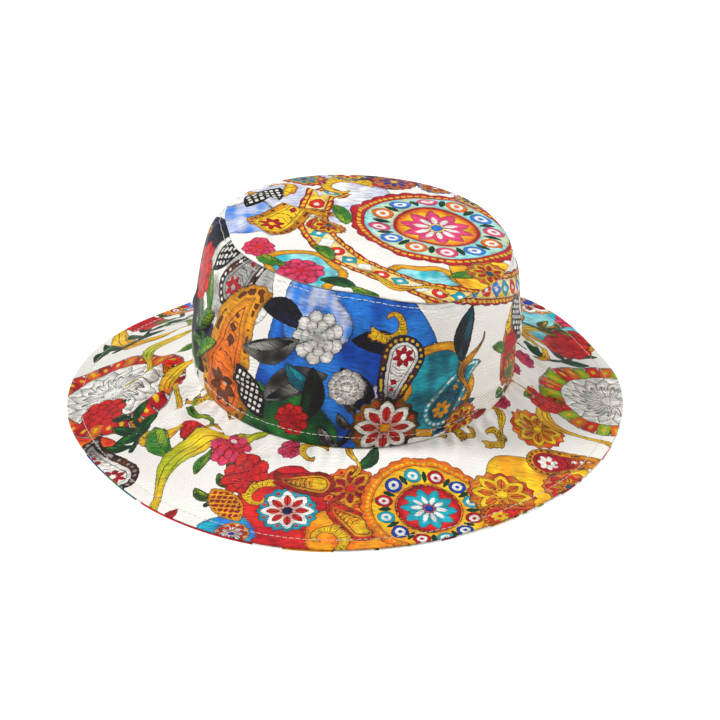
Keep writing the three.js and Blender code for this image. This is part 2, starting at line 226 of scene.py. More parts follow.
def inland(share: Array, steep: float) -> Array:
    """Fades to 0 at both ends of a share: steep * share * (1 - share), and 1 where that is more."""
    return np.minimum(1, steep * share * (1 - share))


def groove(distance: Array, depth: float, width: float) -> Array:
    """A groove along a line, as a height below 0: its depth times a bell over its width."""
    return -depth * np.exp(-(distance / width) ** 2)


def ripple(angle: Array, count: int, phase: float) -> Array:
    """Uneven ripples round the hat: a wave whose beat and strength wander.

    Args:
        angle: Angles round the hat.
        count: Number of waves round the hat.
        phase: Start of the pattern.

    Returns:
        Heights between about -1 and 1.
    """
    wander = 1.9 * np.sin(3 * angle + phase) + 1.1 * np.sin(8 * angle + 2 * phase)
    strength = 0.55 + 0.45 * np.sin(5 * angle + 3 * phase) * np.sin(2 * angle + phase)
    return strength * np.sin(count * angle + wander)


class Pucker(NamedTuple):
    """Ripples that a line of stitches draws up in the cloth beside it."""

    count: int  # ripples round the hat
    phase: float
    away: float  # from the line to where they stand highest
    width: float  # how far from there they fade
    height: float
    start: float = 0.0  # over which they begin, or 0 where they lie on both sides of the line

    def lift(self, angle: Array, distance: Array) -> Array:
        """Height of the ripples: an uneven wave round the hat times a bell across the line."""
        bell = np.exp(-((distance - self.away) / self.width) ** 2)
        return (ripple(angle, self.count, self.phase) * bell
                * (smooth(0, self.start, distance) if self.start else 1.0) * self.height)


class Uneven(NamedTuple):
    """Slow unevenness of a cloth: a strong and a weak product of two waves that cross each other."""

    waves: tuple  # of each wave: its beat along, its beat across, its phase
    strong: float
    weak: float

    def lift(self, along: Array, across: Array) -> Array:
        """Height of the unevenness: strong * sin * sin + weak * sin * sin."""
        a, b, c, d = (np.sin(k * along + m * across + phase) for k, m, phase in self.waves)
        return self.strong * a * b + self.weak * c * d


TIP_STITCH = 2.2  # from the tip's seam down to the side band's upper line of stitches
BASE_STITCH = 6.0  # from the brim's seam up to the side band's lower line of stitches
HEM_LINE = 7.0  # from the rim to its line of stitches
SLOPE_STEP = 2e-3  # how far to each side a face's slopes are taken

BRIM_CROWN_PUCKER = Pucker(61, 0.7, 0.0, 9.0, 1.2, start=2.0)
BRIM_HEM_PUCKER = Pucker(97, 1.9, 3.0, 5.0, 0.28)
BAND_TOP_PUCKER = Pucker(53, 0.3, 0.0, 6.0, 0.5, start=1.5)
BAND_FOOT_PUCKER = Pucker(59, 1.2, 3.0, 5.0, 0.6, start=2.0)
TIP_PUCKER = Pucker(47, 2.1, 0.0, 5.0, 0.3, start=1.5)
BRIM_UNEVEN = Uneven(((5, 9, 0), (7, -5, 1), (13, 14, 2), (3, 11, 0)), 0.6, 0.36)
BAND_UNEVEN = Uneven(((6, 4, 0), (4, -7, 2), (11, 9, 1), (5, 8, 0)), 0.35, 0.21)
TIP_UNEVEN = Uneven(((1 / 9, 1 / 23, 0), (-1 / 31, 1 / 11, 1), (1 / 5, -1 / 13, 2), (1 / 17, 1 / 6, 0)),
                    0.35, 0.2)


@dataclass(frozen=True)
class Seam:
    """An oval seam: its middle, half width, half length, and how its height changes round it."""

    x: float
    y: float
    half_width: float
    half_length: float
    height: float
    rise_right: float = 0.0
    rise_back: float = 0.0

    @property
    def radius(self) -> float:
        """Mean of the two half axes."""
        return 0.5 * (self.half_width + self.half_length)

    def point(self, angle: Array) -> Array:
        """Points of the oval: its middle plus its half axes turned round by the angle."""
        c, s = np.cos(angle), np.sin(angle)
        return np.stack([self.x + self.half_width * c, self.y + self.half_length * s,
                         self.height + self.rise_right * c + self.rise_back * s], -1)

    def outward(self, angle: Array) -> Array:
        """Level directions out of the oval, square to it."""
        d = np.stack([np.cos(angle) / self.half_width, np.sin(angle) / self.half_length, 0 * angle], -1)
        return d / np.linalg.norm(d, axis=-1, keepdims=True)

    def up(self) -> Array:
        """Direction square to the seam's plane."""
        d = np.array([-self.rise_right / self.half_width, -self.rise_back / self.half_length, 1.0])
        return d / np.linalg.norm(d)


@dataclass(frozen=True)
class HatForm:
    """The hat's soft shape: three oval seams and the cloth between them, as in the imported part."""

    rim: Seam = Seam(0, -2, 152.3, 162.6, 0)
    base: Seam = Seam(4.3, 1.6, 88.4, 98.4, 24.0, -1.4, 3.7)
    top: Seam = Seam(12.6, -9.6, 77.0, 82.3, 104.0, -8.7, -0.9)
    crown_cloth: float = 1.2
    brim_cloth: float = 1.0
    gap: float = 0.3
    allowance: float = 8.0
    hem: float = 5.0
    tip_dome: float = 3.0
    tip_roll: float = 1.6
    roll_start: float = 0.86
    brim_dish: float = 0.2
    brim_ease: float = 0.08  # step past the creases, so that the under cloth doesn't fold over itself
    fold_fade: float = 8.0  # how fast the side band's folds grow from its seams
    slack_fade: float = 6.0  # how fast the tip's folds grow from its seam
    edge_roll: float = 0.5  # how far the side band's edges draw in at its seams
    roll_width: float = 0.9  # and over what height
    curves: dict = field(default_factory=lambda: {
        name: round_curve(rows, name)
        for rows in (RIM_ROWS, TIP_ROWS, CROWN_ROWS) for name in rows[0]._fields[1:]})

    @property
    def brim_thickness(self) -> float:
        """Thickness of both cloths of the brim and the gap between them."""
        return 2 * self.brim_cloth + self.gap

    @property
    def brim_width(self) -> float:
        """Mean distance from the rim to the crown's lower seam."""
        return self.rim.radius - self.base.radius

    @property
    def band_height(self) -> float:
        """Height of the side band at its middle."""
        return self.top.height - self.base.height

    def tip_seam(self, angle: Array) -> Array:
        """Points of the tip's seam: its oval, moved out and up by the tip's tables."""
        return (self.top.point(angle) + self.top.outward(angle) * self.curves["tip_reach"](angle)[..., None]
                + self.top.up() * self.curves["tip_rise"](angle)[..., None])

    def brim(self, angle: Array, across: Array) -> Array:
        """Brim's upper face: a line from the rim to the crown that climbs, sags, folds and creases.

        Args:
            angle: Angles round the hat.
            across: Share of the way in, 0 at the rim and 1 at the crown.

        Returns:
            The points.
        """
        angle, across = np.broadcast_arrays(angle, across)
        hem = self.hem / self.brim_width
        rim = self.rim.point(angle) + self.rim.outward(angle) * self.curves["rim_reach"](angle)[..., None]
        base = self.base.point(angle)
        point = rim + (base - rim) * across[..., None]
        s = np.maximum(0, (across - hem) / (1 - hem))
        climb = (1 - self.brim_dish) * s + self.brim_dish * s * s
        fold = self.brim_folds(BRIM_FOLDS, angle, across)
        lift = np.maximum(0, self.curves["rim_lift"](angle))
        point[..., 2] = (self.brim_thickness + lift * (1 - s) ** 2
                         + (base[..., 2] - self.brim_thickness) * climb
                         - self.curves["sag"](angle) * inland(s, steep=4) + fold * inland(s, steep=8)
                         + self.brim_relief(angle, across, s))
        return point

    def brim_folds(self, rows: list[Fold], angle: Array, across: Array) -> Array:
        """Sum of the heights of a table's folds on the brim."""
        radius = self.rim.radius + (self.base.radius - self.rim.radius) * across
        return sum(fold_height(row, (across - row.b) * self.brim_width, angle_between(angle, row.a) * radius)
                   for row in rows)

    def brim_relief(self, angle: Array, across: Array, s: Array) -> Array:
        """Fine relief of the brim: creases by the crown, puckers at both seams and a soft unevenness.

        Args:
            angle: Angles round the hat.
            across: Share of the way in from the rim.
            s: Share of the way in from the flat hem.

        Returns:
            Height over the smooth brim.
        """
        from_crown = (1 - across) * self.brim_width
        from_stitches = across * self.brim_width - HEM_LINE
        slack = self.brim_folds(BRIM_CREASES, angle, across) + BRIM_UNEVEN.lift(angle, across)
        hem = BRIM_HEM_PUCKER.lift(angle, from_stitches) + groove(from_stitches, depth=0.35, width=1.1)
        return (slack * inland(s, steep=6) + BRIM_CROWN_PUCKER.lift(angle, from_crown)
                + hem * smooth(0.0, 0.05, s))

    def bulge(self, angle: Array, up: Array) -> Array:
        """How far the side band stands out of a straight wall: a cubic through each stop's table.

        Args:
            angle: Angles round the hat.
            up: Share of the way up.

        Returns:
            The distance out at each place.
        """
        stops = np.array([0, *BULGE_STOPS.values(), 1])
        values = np.stack([0 * angle, *(self.curves[name](angle) for name in BULGE_STOPS), 0 * angle])
        i = np.clip(np.searchsorted(stops, up, side="right") - 1, 0, len(stops) - 2)
        before, after = np.maximum(i - 1, 0), np.minimum(i + 2, len(stops) - 1)
        earlier, low, high, later = (np.take_along_axis(values, k[None], 0)[0]
                                     for k in (before, i, i + 1, after))
        span = stops[i + 1] - stops[i]
        return hermite(low, high, span * (high - earlier) / (stops[i + 1] - stops[before]),
                       span * (later - low) / (stops[after] - stops[i]), (up - stops[i]) / span)

    def band(self, angle: Array, up: Array) -> Array:
        """Side band's outer face: a line from the brim's seam to the tip's seam, bulged, folded and creased.

        Args:
            angle: Angles round the hat.
            up: Share of the way up, 0 at the brim and 1 at the tip.

        Returns:
            The points.
        """
        angle, up = np.broadcast_arrays(angle, up)
        low = self.base.point(angle) + np.array([0, 0, self.gap])
        high = self.tip_seam(angle) - self.top.up() * (self.crown_cloth + self.gap)
        fade = np.minimum(1, self.fold_fade * np.minimum(up, 1 - up))
        out = (self.bulge(angle, up) + fade * self.band_folds(BAND_FOLDS, angle, up)
               + self.band_relief(angle, up))
        return low + (high - low) * up[..., None] + self.base.outward(angle) * out[..., None]

    def band_folds(self, rows: list[Fold], angle: Array, up: Array) -> Array:
        """Sum of the heights of a table's folds on the side band."""
        return sum(fold_height(row, angle_between(angle, row.a) * self.base.radius,
                               (up - row.b) * self.band_height) for row in rows)

    def band_relief(self, angle: Array, up: Array) -> Array:
        """Fine relief of the side band: creases, puckers at its two seams, and its closing seam.

        Args:
            angle: Angles round the hat.
            up: Share of the way up.

        Returns:
            How far the cloth stands out of the smooth band.
        """
        low, high = up * self.band_height, (1 - up) * self.band_height
        slack = self.band_folds(BAND_CREASES, angle, up) + BAND_UNEVEN.lift(angle, up)
        lines = (groove(high - TIP_STITCH, depth=0.3, width=0.9)
                 + groove(low - BASE_STITCH, depth=0.3, width=0.9)
                 + groove(angle_between(angle, BACK) * self.base.radius, depth=0.8, width=1.1))
        roll = -self.edge_roll * (np.exp(-high / self.roll_width) + np.exp(-low / self.roll_width))
        return (slack * inland(up, steep=12) + BAND_TOP_PUCKER.lift(angle, high)
                + BAND_FOOT_PUCKER.lift(angle, low) + lines + roll)

    def tip(self, angle: Array, out: Array) -> Array:
        """Tip's upper face: a low dome that rolls into its seam, with soft folds.

        Args:
            angle: Angles round the hat.
            out: Share of the way out, 0 at the middle and 1 at the seam.

        Returns:
            The points.
        """
        angle, out = np.broadcast_arrays(angle, out)
        middle = np.array([self.top.x, self.top.y, self.top.height])
        point = middle + (self.tip_seam(angle) - middle) * out[..., None]
        roll = smooth(self.roll_start, 1, out)
        dome = self.tip_dome * (1 - out * out) + self.tip_roll * (1 - roll) * out * out
        x, y = point[..., 0], point[..., 1]
        slack = sum(fold_height(row, x - row.a, y - row.b) for row in TIP_FOLDS + TIP_CREASES)
        rise = (dome + np.minimum(1, self.slack_fade * (1 - out)) * (slack + TIP_UNEVEN.lift(x, y))
                + TIP_PUCKER.lift(angle, (1 - out) * self.top.radius))
        return point + self.top.up() * rise[..., None]


def normals(face: Callable[[Array, Array], Array], angle: Array, share: Array,
            step: float = SLOPE_STEP) -> Array:
    """Directions out of a face, from its slopes round the hat and along the section.

    Args:
        face: A surface of the hat's form.
        angle: Angles round the hat.
        share: Shares along the section.
        step: How far to each side the slopes are taken; a long step looks past the creases.

    Returns:
        Unit vectors.
    """
    before, after = np.maximum(0, share - step), np.minimum(1, share + step)
    around = face(angle + step, share) - face(angle - step, share)
    along = face(angle, after) - face(angle, before)
    normal = np.cross(around, along)
    return normal / np.linalg.norm(normal, axis=-1, keepdims=True)


# ---- Cloth meshes ----

@dataclass(frozen=True)
class Row:
    """One row of a cloth's section: a face of the form, the share along it and the depth under it."""

    face: str
    share: float
    depth: float


@dataclass
class ClothMesh:
    """A closed cloth wall: a section of rows carried round the hat."""

    form: HatForm
    rows: list[Row]
    columns: int
    start: float = 0.0
    poles: bool = False  # the section runs from axis to axis, and isn't a ring

    def angles(self) -> Array:
        """Angles of the columns, from the start once round the hat."""
        return self.start + TURN * np.arange(self.columns) / self.columns

    def points(self) -> Array:
        """Places every row at every angle: its face's point, moved inwards by its depth.

        Returns:
            Points in millimetres, rows by columns by three.
        """
        angle = self.angles()[None, :]
        made = np.empty((len(self.rows), self.columns, 3))
        for name in dict.fromkeys(row.face for row in self.rows):
            chosen = [i for i, row in enumerate(self.rows) if row.face == name]
            share = np.array([self.rows[i].share for i in chosen])[:, None]
            depth = np.array([self.rows[i].depth for i in chosen])[:, None, None]
            made[chosen] = self.surface(name, angle, share, depth)
        return made

    def surface(self, name: str, angle: Array, share: Array, depth: Array) -> Array:
        """Points of a face moved inwards: along its normal, or down where the cloth lies flat.

        Args:
            name: Which face of the form: brim, band, tip, or corner for the fold at the crown's lower seam.
            angle: Angles round the hat.
            share: Shares along the section.
            depth: How far under the face.

        Returns:
            Points in millimetres.
        """
        form = self.form
        if name == "corner":
            inside = form.crown_cloth + form.gap + depth
            point = form.base.point(angle) - form.base.outward(angle) * inside
            return point - np.array([0, 0, 1]) * depth
        if name == "tip":
            return form.tip(angle, share) - form.top.up() * depth
        face = getattr(form, name)
        normal = normals(face, angle, share, form.brim_ease if name == "brim" else SLOPE_STEP)
        if name == "brim":
            flat = (share <= form.hem / form.brim_width)[..., None]
            normal = np.where(flat, np.array([0, 0, 1.0]), normal)
        if name == "band":
            edge = (share <= 0)[..., None]
            normal = np.where(edge, form.base.outward(angle), normal)
        return face(angle, share) - normal * depth

    def faces(self) -> tuple[Array, Array]:
        """Quads between neighbouring rows and columns, and fans where the section meets the axis.

        A section between poles runs outwards over its upper side and a ring runs inwards, so that the first
        kind's faces are turned round.

        Returns:
            The corner lists of all faces, end to end, and each face's number of corners.
        """
        rows, columns = len(self.rows), self.columns
        ring = np.arange(rows - 1 if self.poles else rows)
        column = np.arange(columns)
        following = (column + 1) % columns
        low, high = ring[:, None] * columns, ((ring + 1) % rows)[:, None] * columns
        quads = np.stack([low + column, low + following, high + following, high + column], -1).reshape(-1, 4)
        if not self.poles:
            return quads.reshape(-1), np.full(len(quads), 4)
        last = (rows - 1) * columns
        first_fan = np.stack([column, following, np.full(columns, rows * columns)], -1)
        last_fan = np.stack([last + following, last + column, np.full(columns, rows * columns + 1)], -1)
        return (np.concatenate([quads[:, ::-1].reshape(-1), first_fan.reshape(-1), last_fan.reshape(-1)]),
                np.concatenate([np.full(len(quads), 4), np.full(2 * columns, 3)]))


def make_mesh(name: str, points: Array, corners: Array, sizes: Array, cloth: Array) -> Object:
    """Puts arrays into a smooth-shaded mesh with the cloth's own millimetres as its UV map.

    Args:
        name: Name of the object.
        points: Vertices in millimetres, in the form's frame.
        corners: Corner lists of all faces, end to end.
        sizes: Each face's number of corners.
        cloth: The place on the cut cloth of every face corner, in millimetres.

    Returns:
        The object, with its place in its mesh.
    """
    mesh = bpy.data.meshes.new(name)
    mesh.vertices.add(len(points))
    mesh.loops.add(len(corners))
    mesh.polygons.add(len(sizes))
    mesh.vertices.foreach_set("co", ((points + PART_SHIFT) * MM).astype(np.float32).ravel())
    mesh.loops.foreach_set("vertex_index", corners.astype(np.int32))
    mesh.polygons.foreach_set("loop_start", np.concatenate([[0], np.cumsum(sizes)[:-1]]).astype(np.int32))
    mesh.polygons.foreach_set("loop_total", sizes.astype(np.int32))
    mesh.polygons.foreach_set("use_smooth", np.ones(len(sizes), bool))
    uv = mesh.uv_layers.new(name="cloth")
    uv.data.foreach_set("uv", cloth.astype(np.float32).ravel())
    mesh.update(calc_edges=True)
    mesh.validate()
    obj = bpy.data.objects.new(name, mesh)
    bpy.context.collection.objects.link(obj)
    return obj


def ring_quads(rings: int, spokes: int) -> Array:
    """Quads between neighbouring rings of vertices: their corners, a quad a row."""
    i, j = np.arange(rings - 1)[:, None], np.arange(spokes)[None, :]
    following = (j + 1) % spokes
    return np.stack([i * spokes + j, (i + 1) * spokes + j, (i + 1) * spokes + following,
                     i * spokes + following], axis=-1).reshape(-1, 4)


# ---- The print ----

class Ink(Enum):
    """Printing inks, as display colours."""

    WHITE = (0.95, 0.94, 0.91)
    CRIMSON = (0.70, 0.06, 0.13)
    RED = (0.84, 0.15, 0.11)
    ORANGE = (0.88, 0.42, 0.08)
    SAFFRON = (0.88, 0.59, 0.08)
    YELLOW = (0.94, 0.77, 0.12)
    LIME = (0.60, 0.72, 0.12)
    LEAF = (0.14, 0.47, 0.16)
    BOTTLE = (0.04, 0.22, 0.14)
    TEAL = (0.02, 0.33, 0.40)
    TURQUOISE = (0.09, 0.64, 0.71)
    AQUA = (0.58, 0.85, 0.86)
    SKY = (0.15, 0.48, 0.84)
    BLUE = (0.04, 0.24, 0.62)
    NAVY = (0.05, 0.08, 0.24)
    PINK = (0.87, 0.26, 0.46)
    LILAC = (0.74, 0.76, 0.85)
    GREY = (0.62, 0.61, 0.59)
    BLACK = (0.04, 0.035, 0.04)
    BROWN = (0.42, 0.19, 0.06)

    def linear(self) -> Array:
        """The ink as scene-linear light."""
        return linear(self.value)


class Layer(Enum):
    """Layers of ink, from the first that is printed to the last."""

    GROUND = 0
    FIELD = 1
    MOTIF = 2
    INNER = 3
    DETAIL = 4


class Kind(Enum):
    """Motifs of the print: common forms of folk and garden prints."""

    PATCH = "patch"
    MEDALLION = "medallion"
    ROSETTE = "rosette"
    PAISLEY = "paisley"
    LEAF = "leaf"
    SPRAY = "spray"
    BLOOM = "bloom"
    FAN = "fan"
    BORDER = "border"
    RIBBON = "ribbon"
    SCROLL = "scroll"
    LATTICE = "lattice"


class Motif(NamedTuple):
    """One motif: where its middle or foot lies on the cloth, its turn in degrees, its size and its inks."""

    kind: Kind
    x: float
    y: float
    turn: float
    size: float
    inks: tuple
    bend: float = 0.0  # radius that a border is bent to, or 0 for a straight one
    long: float = 10.0  # length of a border over its width

    def at(self, kind: Kind, x: float, y: float, turn: float, size: float, inks: tuple) -> "Motif":
        """A smaller motif in this one's own frame."""
        own = math.radians(self.turn)
        return Motif(kind, self.x + x * math.cos(own) - y * math.sin(own),
                     self.y + x * math.sin(own) + y * math.cos(own), self.turn + turn, size, inks)


def motif_table(text: str) -> list[Motif]:
    """Reads motifs from lines of: kind, x, y, turn, size, inks, and for a border its bend and length."""
    rows = []
    for kind, *words in (line.split() for line in text.strip().splitlines()):
        inks = tuple(Ink[word] for word in words if word.isalpha())
        numbers = [float(word) for word in words if not word.isalpha()]
        rows.append(Motif(Kind[kind.upper()], *numbers[:4], inks, *numbers[4:]))
    return rows


SPRINKLE_CLEAR = 10.0  # bare distance round a small motif's middle
SPRINKLE_TRIES = 700
SPRINKLE_SAMPLE = 9  # every how many inked places are looked at
FAR = 4.0  # how far from any edge a layer's distance is taken to be where nothing is printed
LINE_HALF = 0.32  # half width of a drawn line
OUTSIDE = -1e3  # distance inside a stroke before any of it is laid


def linear(colour: Sequence[float]) -> Array:
    """Turns display colours into scene-linear light: a power law with a short straight foot."""
    c = np.array(colour, float)
    return np.where(c <= 0.04045, c / 12.92, ((c + 0.055) / 1.055) ** 2.4)


def raised(p: Array, y: float) -> Array:
    """Places as seen from a point straight up at y."""
    return p - np.array([0, y])


def polar(p: Array) -> tuple[Array, Array]:
    """Distance of places from the origin, and their angle from straight up."""
    return np.hypot(p[:, 0], p[:, 1]), np.arctan2(p[:, 0], p[:, 1])


def disc(p: Array, radius: float) -> Array:
    """Distance inside a circle round the origin."""
    return radius - np.hypot(p[:, 0], p[:, 1])


def petal(p: Array, length: float, width: float) -> Array:
    """Distance inside an almond that runs from the origin up: where two circles overlap.

    Args:
        p: Places on the cloth.
        length: Length of the almond.
        width: Its greatest width.

    Returns:
        The distance, negative outside.
    """
    half = 0.5 * length
    radius = (half ** 2 + (0.5 * width) ** 2) / width
    return radius - np.hypot(np.abs(p[:, 0]) + radius - 0.5 * width, p[:, 1] - half)


def wrap(x: Array, pitch: float) -> Array:
    """Distance to the nearest whole multiple of a pitch, with its sign."""
    return (x + pitch / 2) % pitch - pitch / 2


def fan_out(p: Array, count: int, start: float = 0.0) -> Array:
    """Folds places round the origin into one of a number of equal sectors, which points up.

    Args:
        p: Places on the cloth.
        count: Number of sectors.
        start: Turn of the first sector.

    Returns:
        The places as seen from their own sector.
    """
    radius, angle = polar(p)
    angle = wrap(angle - start, TURN / count)
    return np.stack([radius * np.sin(angle), radius * np.cos(angle)], -1)


def clouds(p: Array, scale: float) -> Array:
    """Soft uneven shares between 0 and 1: two products of crossed waves, bent by one another.

    Args:
        p: Places on the cloth.
        scale: About the length of a cloud.

    Returns:
        The share at each place.
    """
    x, y = p.T / scale
    wave = (np.sin(1.9 * x + 1.3 * np.sin(1.1 * y)) * np.sin(1.4 * y - 0.8 * x + 2)
            + 0.6 * np.sin(3.7 * x + 2.9 * y) * np.sin(2.3 * y - 4.1 * x + 1))
    return 0.5 + 0.5 * np.tanh(1.6 * wave)


def stroke(p: Array, path: Array, radii: Array) -> tuple[Array, Array]:
    """Distance inside a brush stroke: the best of a chain of capsules whose radius changes along the path.

    Args:
        p: Places on the cloth.
        path: Points of the stroke's middle.
        radii: Half width of the stroke at each point.

    Returns:
        The distance inside the stroke, and how far along its path the nearest point lies.
    """
    best, along, run = np.full(len(p), OUTSIDE), np.zeros(len(p)), 0.0
    for a, b, r_a, r_b in zip(path[:-1], path[1:], radii[:-1], radii[1:]):
        step = b - a
        length = float(np.hypot(*step))
        t = np.clip((p - a) @ step / length ** 2, 0, 1)
        value = r_a + (r_b - r_a) * t - np.hypot(*(p - a - t[:, None] * step).T)
        better = value > best
        best, along = np.where(better, value, best), np.where(better, run + t * length, along)
        run += length
    return best, along


@dataclass
class PrintedCloth:
    """Ink layers over the places of one cloth: each has a distance inside its edges, and a colour.

    The methods named after a kind of motif print one row of that kind. Their numbers are shares of its size,
    or millimetres where no size stands beside them; gaps are millimetres.
    """

    place: Array
    edges: dict = field(init=False)
    inks: dict = field(init=False)
    lines: Array = field(init=False)

    def __post_init__(self) -> None:
        """Starts with no ink anywhere."""
        count = len(self.place)
        self.edges = {layer: np.full(count, -FAR) for layer in Layer}
        self.inks = {layer: np.tile(Ink.WHITE.linear(), (count, 1)) for layer in Layer}
        self.lines = np.full(count, FAR)

    def near(self, row: Motif, reach: float) -> tuple[Array, Array, float]:
        """Finds the places near a motif.

        Args:
            row: The motif.
            reach: How far it can reach from its own place, as a share of its size.

        Returns:
            The indices of the places, the places as seen from the motif, and its size.
        """
        size = abs(row.size)
        offset = self.place - np.array([row.x, row.y])
        where = np.flatnonzero((np.abs(offset) < size * reach).all(axis=1))
        turn = math.radians(row.turn)
        x, y = offset[where].T
        return where, np.stack([x * math.cos(turn) + y * math.sin(turn),
                                y * math.cos(turn) - x * math.sin(turn)], -1), size

    def lay(self, layer: Layer, where: Array, distance: Array, ink: Ink, gap: float = 0.7,
            shade: tuple[Ink, Array] | None = None) -> None:
        """Prints a shape: clears what lies over it, and gives the layer its edge and ink.

        Args:
            layer: The layer that takes the ink.
            where: Indices of the places that the shape was worked out for.
            distance: Distance inside the shape at those places.
            ink: The shape's ink.
            gap: Clear width left round the shape where it covers others.
            shade: A second ink, and its share at each place.
        """
        for other in Layer:
            if other.value >= layer.value:
                self.edges[other][where] = np.minimum(self.edges[other][where], -distance - gap)
        self.lines[where] = np.where(distance > -gap, FAR, self.lines[where])
        better = distance > self.edges[layer][where]
        chosen = where[better]
        self.edges[layer][chosen] = distance[better]
        colour = np.tile(ink.linear(), (len(chosen), 1))
        if shade is not None:
            colour += (shade[0].linear() - colour) * np.clip(shade[1][better], 0, 1)[:, None]
        self.inks[layer][chosen] = colour

    def detail(self, where: Array, distance: Array, ink: Ink) -> None:
        """Prints a small shape last, with no clear width round it."""
        self.lay(Layer.DETAIL, where, distance, ink, gap=0.0)

    def draw(self, where: Array, side: Array, inside: Array) -> None:
        """Draws a thin line where side changes its sign, only where inside is positive."""
        nearer = (inside > 0) & (np.abs(side) < np.abs(self.lines[where]))
        self.lines[where[nearer]] = side[nearer]

    def motifs(self, rows: Sequence[Motif]) -> None:
        """Prints rows of motifs in their order."""
        for row in rows:
            getattr(self, row.kind.value)(row)

    def sprinkle(self, rows: Sequence[Motif], clear: float, tries: int) -> None:
        """Fills bare cloth with small motifs, each clear of all ink laid before.

        Args:
            rows: Small motifs, used in turn.
            clear: Bare distance that a motif needs round its middle.
            tries: How many places are tried.
        """
        chance = np.random.default_rng(tries)
        inked = np.max([self.edges[layer] for layer in Layer], axis=0) > 0
        taken = self.place[inked][::SPRINKLE_SAMPLE]
        done = 0
        for _ in range(tries):
            x, y = self.place[chance.integers(len(self.place))]
            turn = float(chance.uniform(0, 360))
            if len(taken) and np.hypot(*(taken - (x, y)).T).min() < clear:
                continue
            self.motifs([rows[done % len(rows)]._replace(x=x, y=y, turn=turn)])
            taken = np.concatenate([taken, [[x, y]]])
            done += 1

    def patch(self, row: Motif) -> None:
        """A ground patch: a wandering outline, clouds of a second ink, and a gilt rope if it has a third.

        Args:
            row: The motif.
        """
        first, second, *edging = row.inks
        where, p, size = self.near(row, 1.5)
        angle = np.arctan2(p[:, 1], p[:, 0])
        wander = (0.13 * np.sin(2 * angle + row.y) + 0.08 * np.sin(3 * angle + row.x)
                  + 0.05 * np.sin(5 * angle + 2))
        edge = disc(p, size) + size * wander
        self.lay(Layer.GROUND, where, edge, first, shade=(second, clouds(p, 0.42 * size)))
        if edging:
            width, strand = 4.6, 3.4
            self.lay(Layer.FIELD, where, np.minimum(edge, width - edge), edging[0], gap=0.0)
            rope = np.minimum(0.8 - np.abs(edge - width / 2),
                              0.9 - np.abs(wrap(angle * size + edge, strand)))
            self.detail(where, rope, Ink.YELLOW)

    def rosette(self, row: Motif) -> None:
        """A round flower: a lobed field, a ring of petals with inner petals, a heart and dots between.

        Args:
            row: The motif.
        """
        field_ink, petal_ink, inner_ink, heart_ink = row.inks
        count = 8
        where, p, r = self.near(row, 1.3)
        radius, angle = polar(p)
        lobes = 0.05 * r * np.cos(2 * count * angle)
        self.lay(Layer.FIELD, where, disc(p, r) + lobes, field_ink,
                 shade=(heart_ink, 0.4 * clouds(p, 0.5 * r)))
        sector = fan_out(p, count)
        root = raised(sector, 0.16 * r)
        self.lay(Layer.MOTIF, where, petal(root, 0.76 * r, 0.46 * r), petal_ink, gap=0.3,
                 shade=(inner_ink, 0.75 * smooth(0.62 * r, 0.1 * r, radius)))
        self.lay(Layer.INNER, where, petal(raised(root, 0.1 * r), 0.46 * r, 0.24 * r), inner_ink)
        self.draw(where, sector[:, 0], petal(root, 0.6 * r, 0.5 * r))
        between = raised(fan_out(p, count, TURN / count / 2), 0.84 * r)
        self.lay(Layer.DETAIL, where, disc(between, 0.07 * r), inner_ink)
        self.lay(Layer.DETAIL, where, disc(p, 0.17 * r), heart_ink)

    def medallion(self, row: Motif) -> None:
        """A large disc of rings: a scalloped rim with a rope, a band of round spots, and a flower in a bowl.

        Args:
            row: The motif.
        """
        rim, band, bowl, *spots = row.inks
        scallops, count, petals = 15, 12, 10
        where, p, r = self.near(row, 1.1)
        radius, angle = polar(p)
        self.lay(Layer.FIELD, where, r - radius - 0.035 * r * (1 - np.abs(np.cos(scallops * angle))), rim)
        ring = np.minimum(radius - 0.5 * r, 0.83 * r - radius)
        self.lay(Layer.MOTIF, where, ring, band, shade=(bowl, 0.45 * clouds(p, 0.3 * r)))
        self.lay(Layer.MOTIF, where, 0.46 * r - radius, bowl, gap=0.3,
                 shade=(spots[1], smooth(0.3 * r, 0.46 * r, radius)))
        rope = np.minimum(0.022 * r - np.abs(radius - 0.895 * r),
                          0.03 * r - np.abs(wrap(angle * r * 0.9, 0.085 * r)))
        self.detail(where, rope, Ink.YELLOW)
        for k, ink in enumerate(spots):
            spot = raised(fan_out(p, count // len(spots), k * TURN / count), 0.665 * r)
            self.lay(Layer.INNER, where, disc(spot, 0.125 * r), ink, gap=0.2)
            self.detail(where, 0.045 * r - 2 * np.abs(disc(spot, 0.055 * r)), Ink.WHITE)
        leaf = raised(fan_out(p, count, TURN / count / 2), 0.53 * r)
        self.detail(where, petal(leaf, 0.22 * r, 0.08 * r), Ink.BOTTLE)
        flower = raised(fan_out(p, petals), 0.08 * r)
        self.lay(Layer.INNER, where, petal(flower, 0.34 * r, 0.17 * r), spots[0], gap=0.2)
        self.detail(where, petal(flower, 0.2 * r, 0.07 * r), Ink.WHITE)
        self.lay(Layer.DETAIL, where, disc(p, 0.07 * r), spots[2])

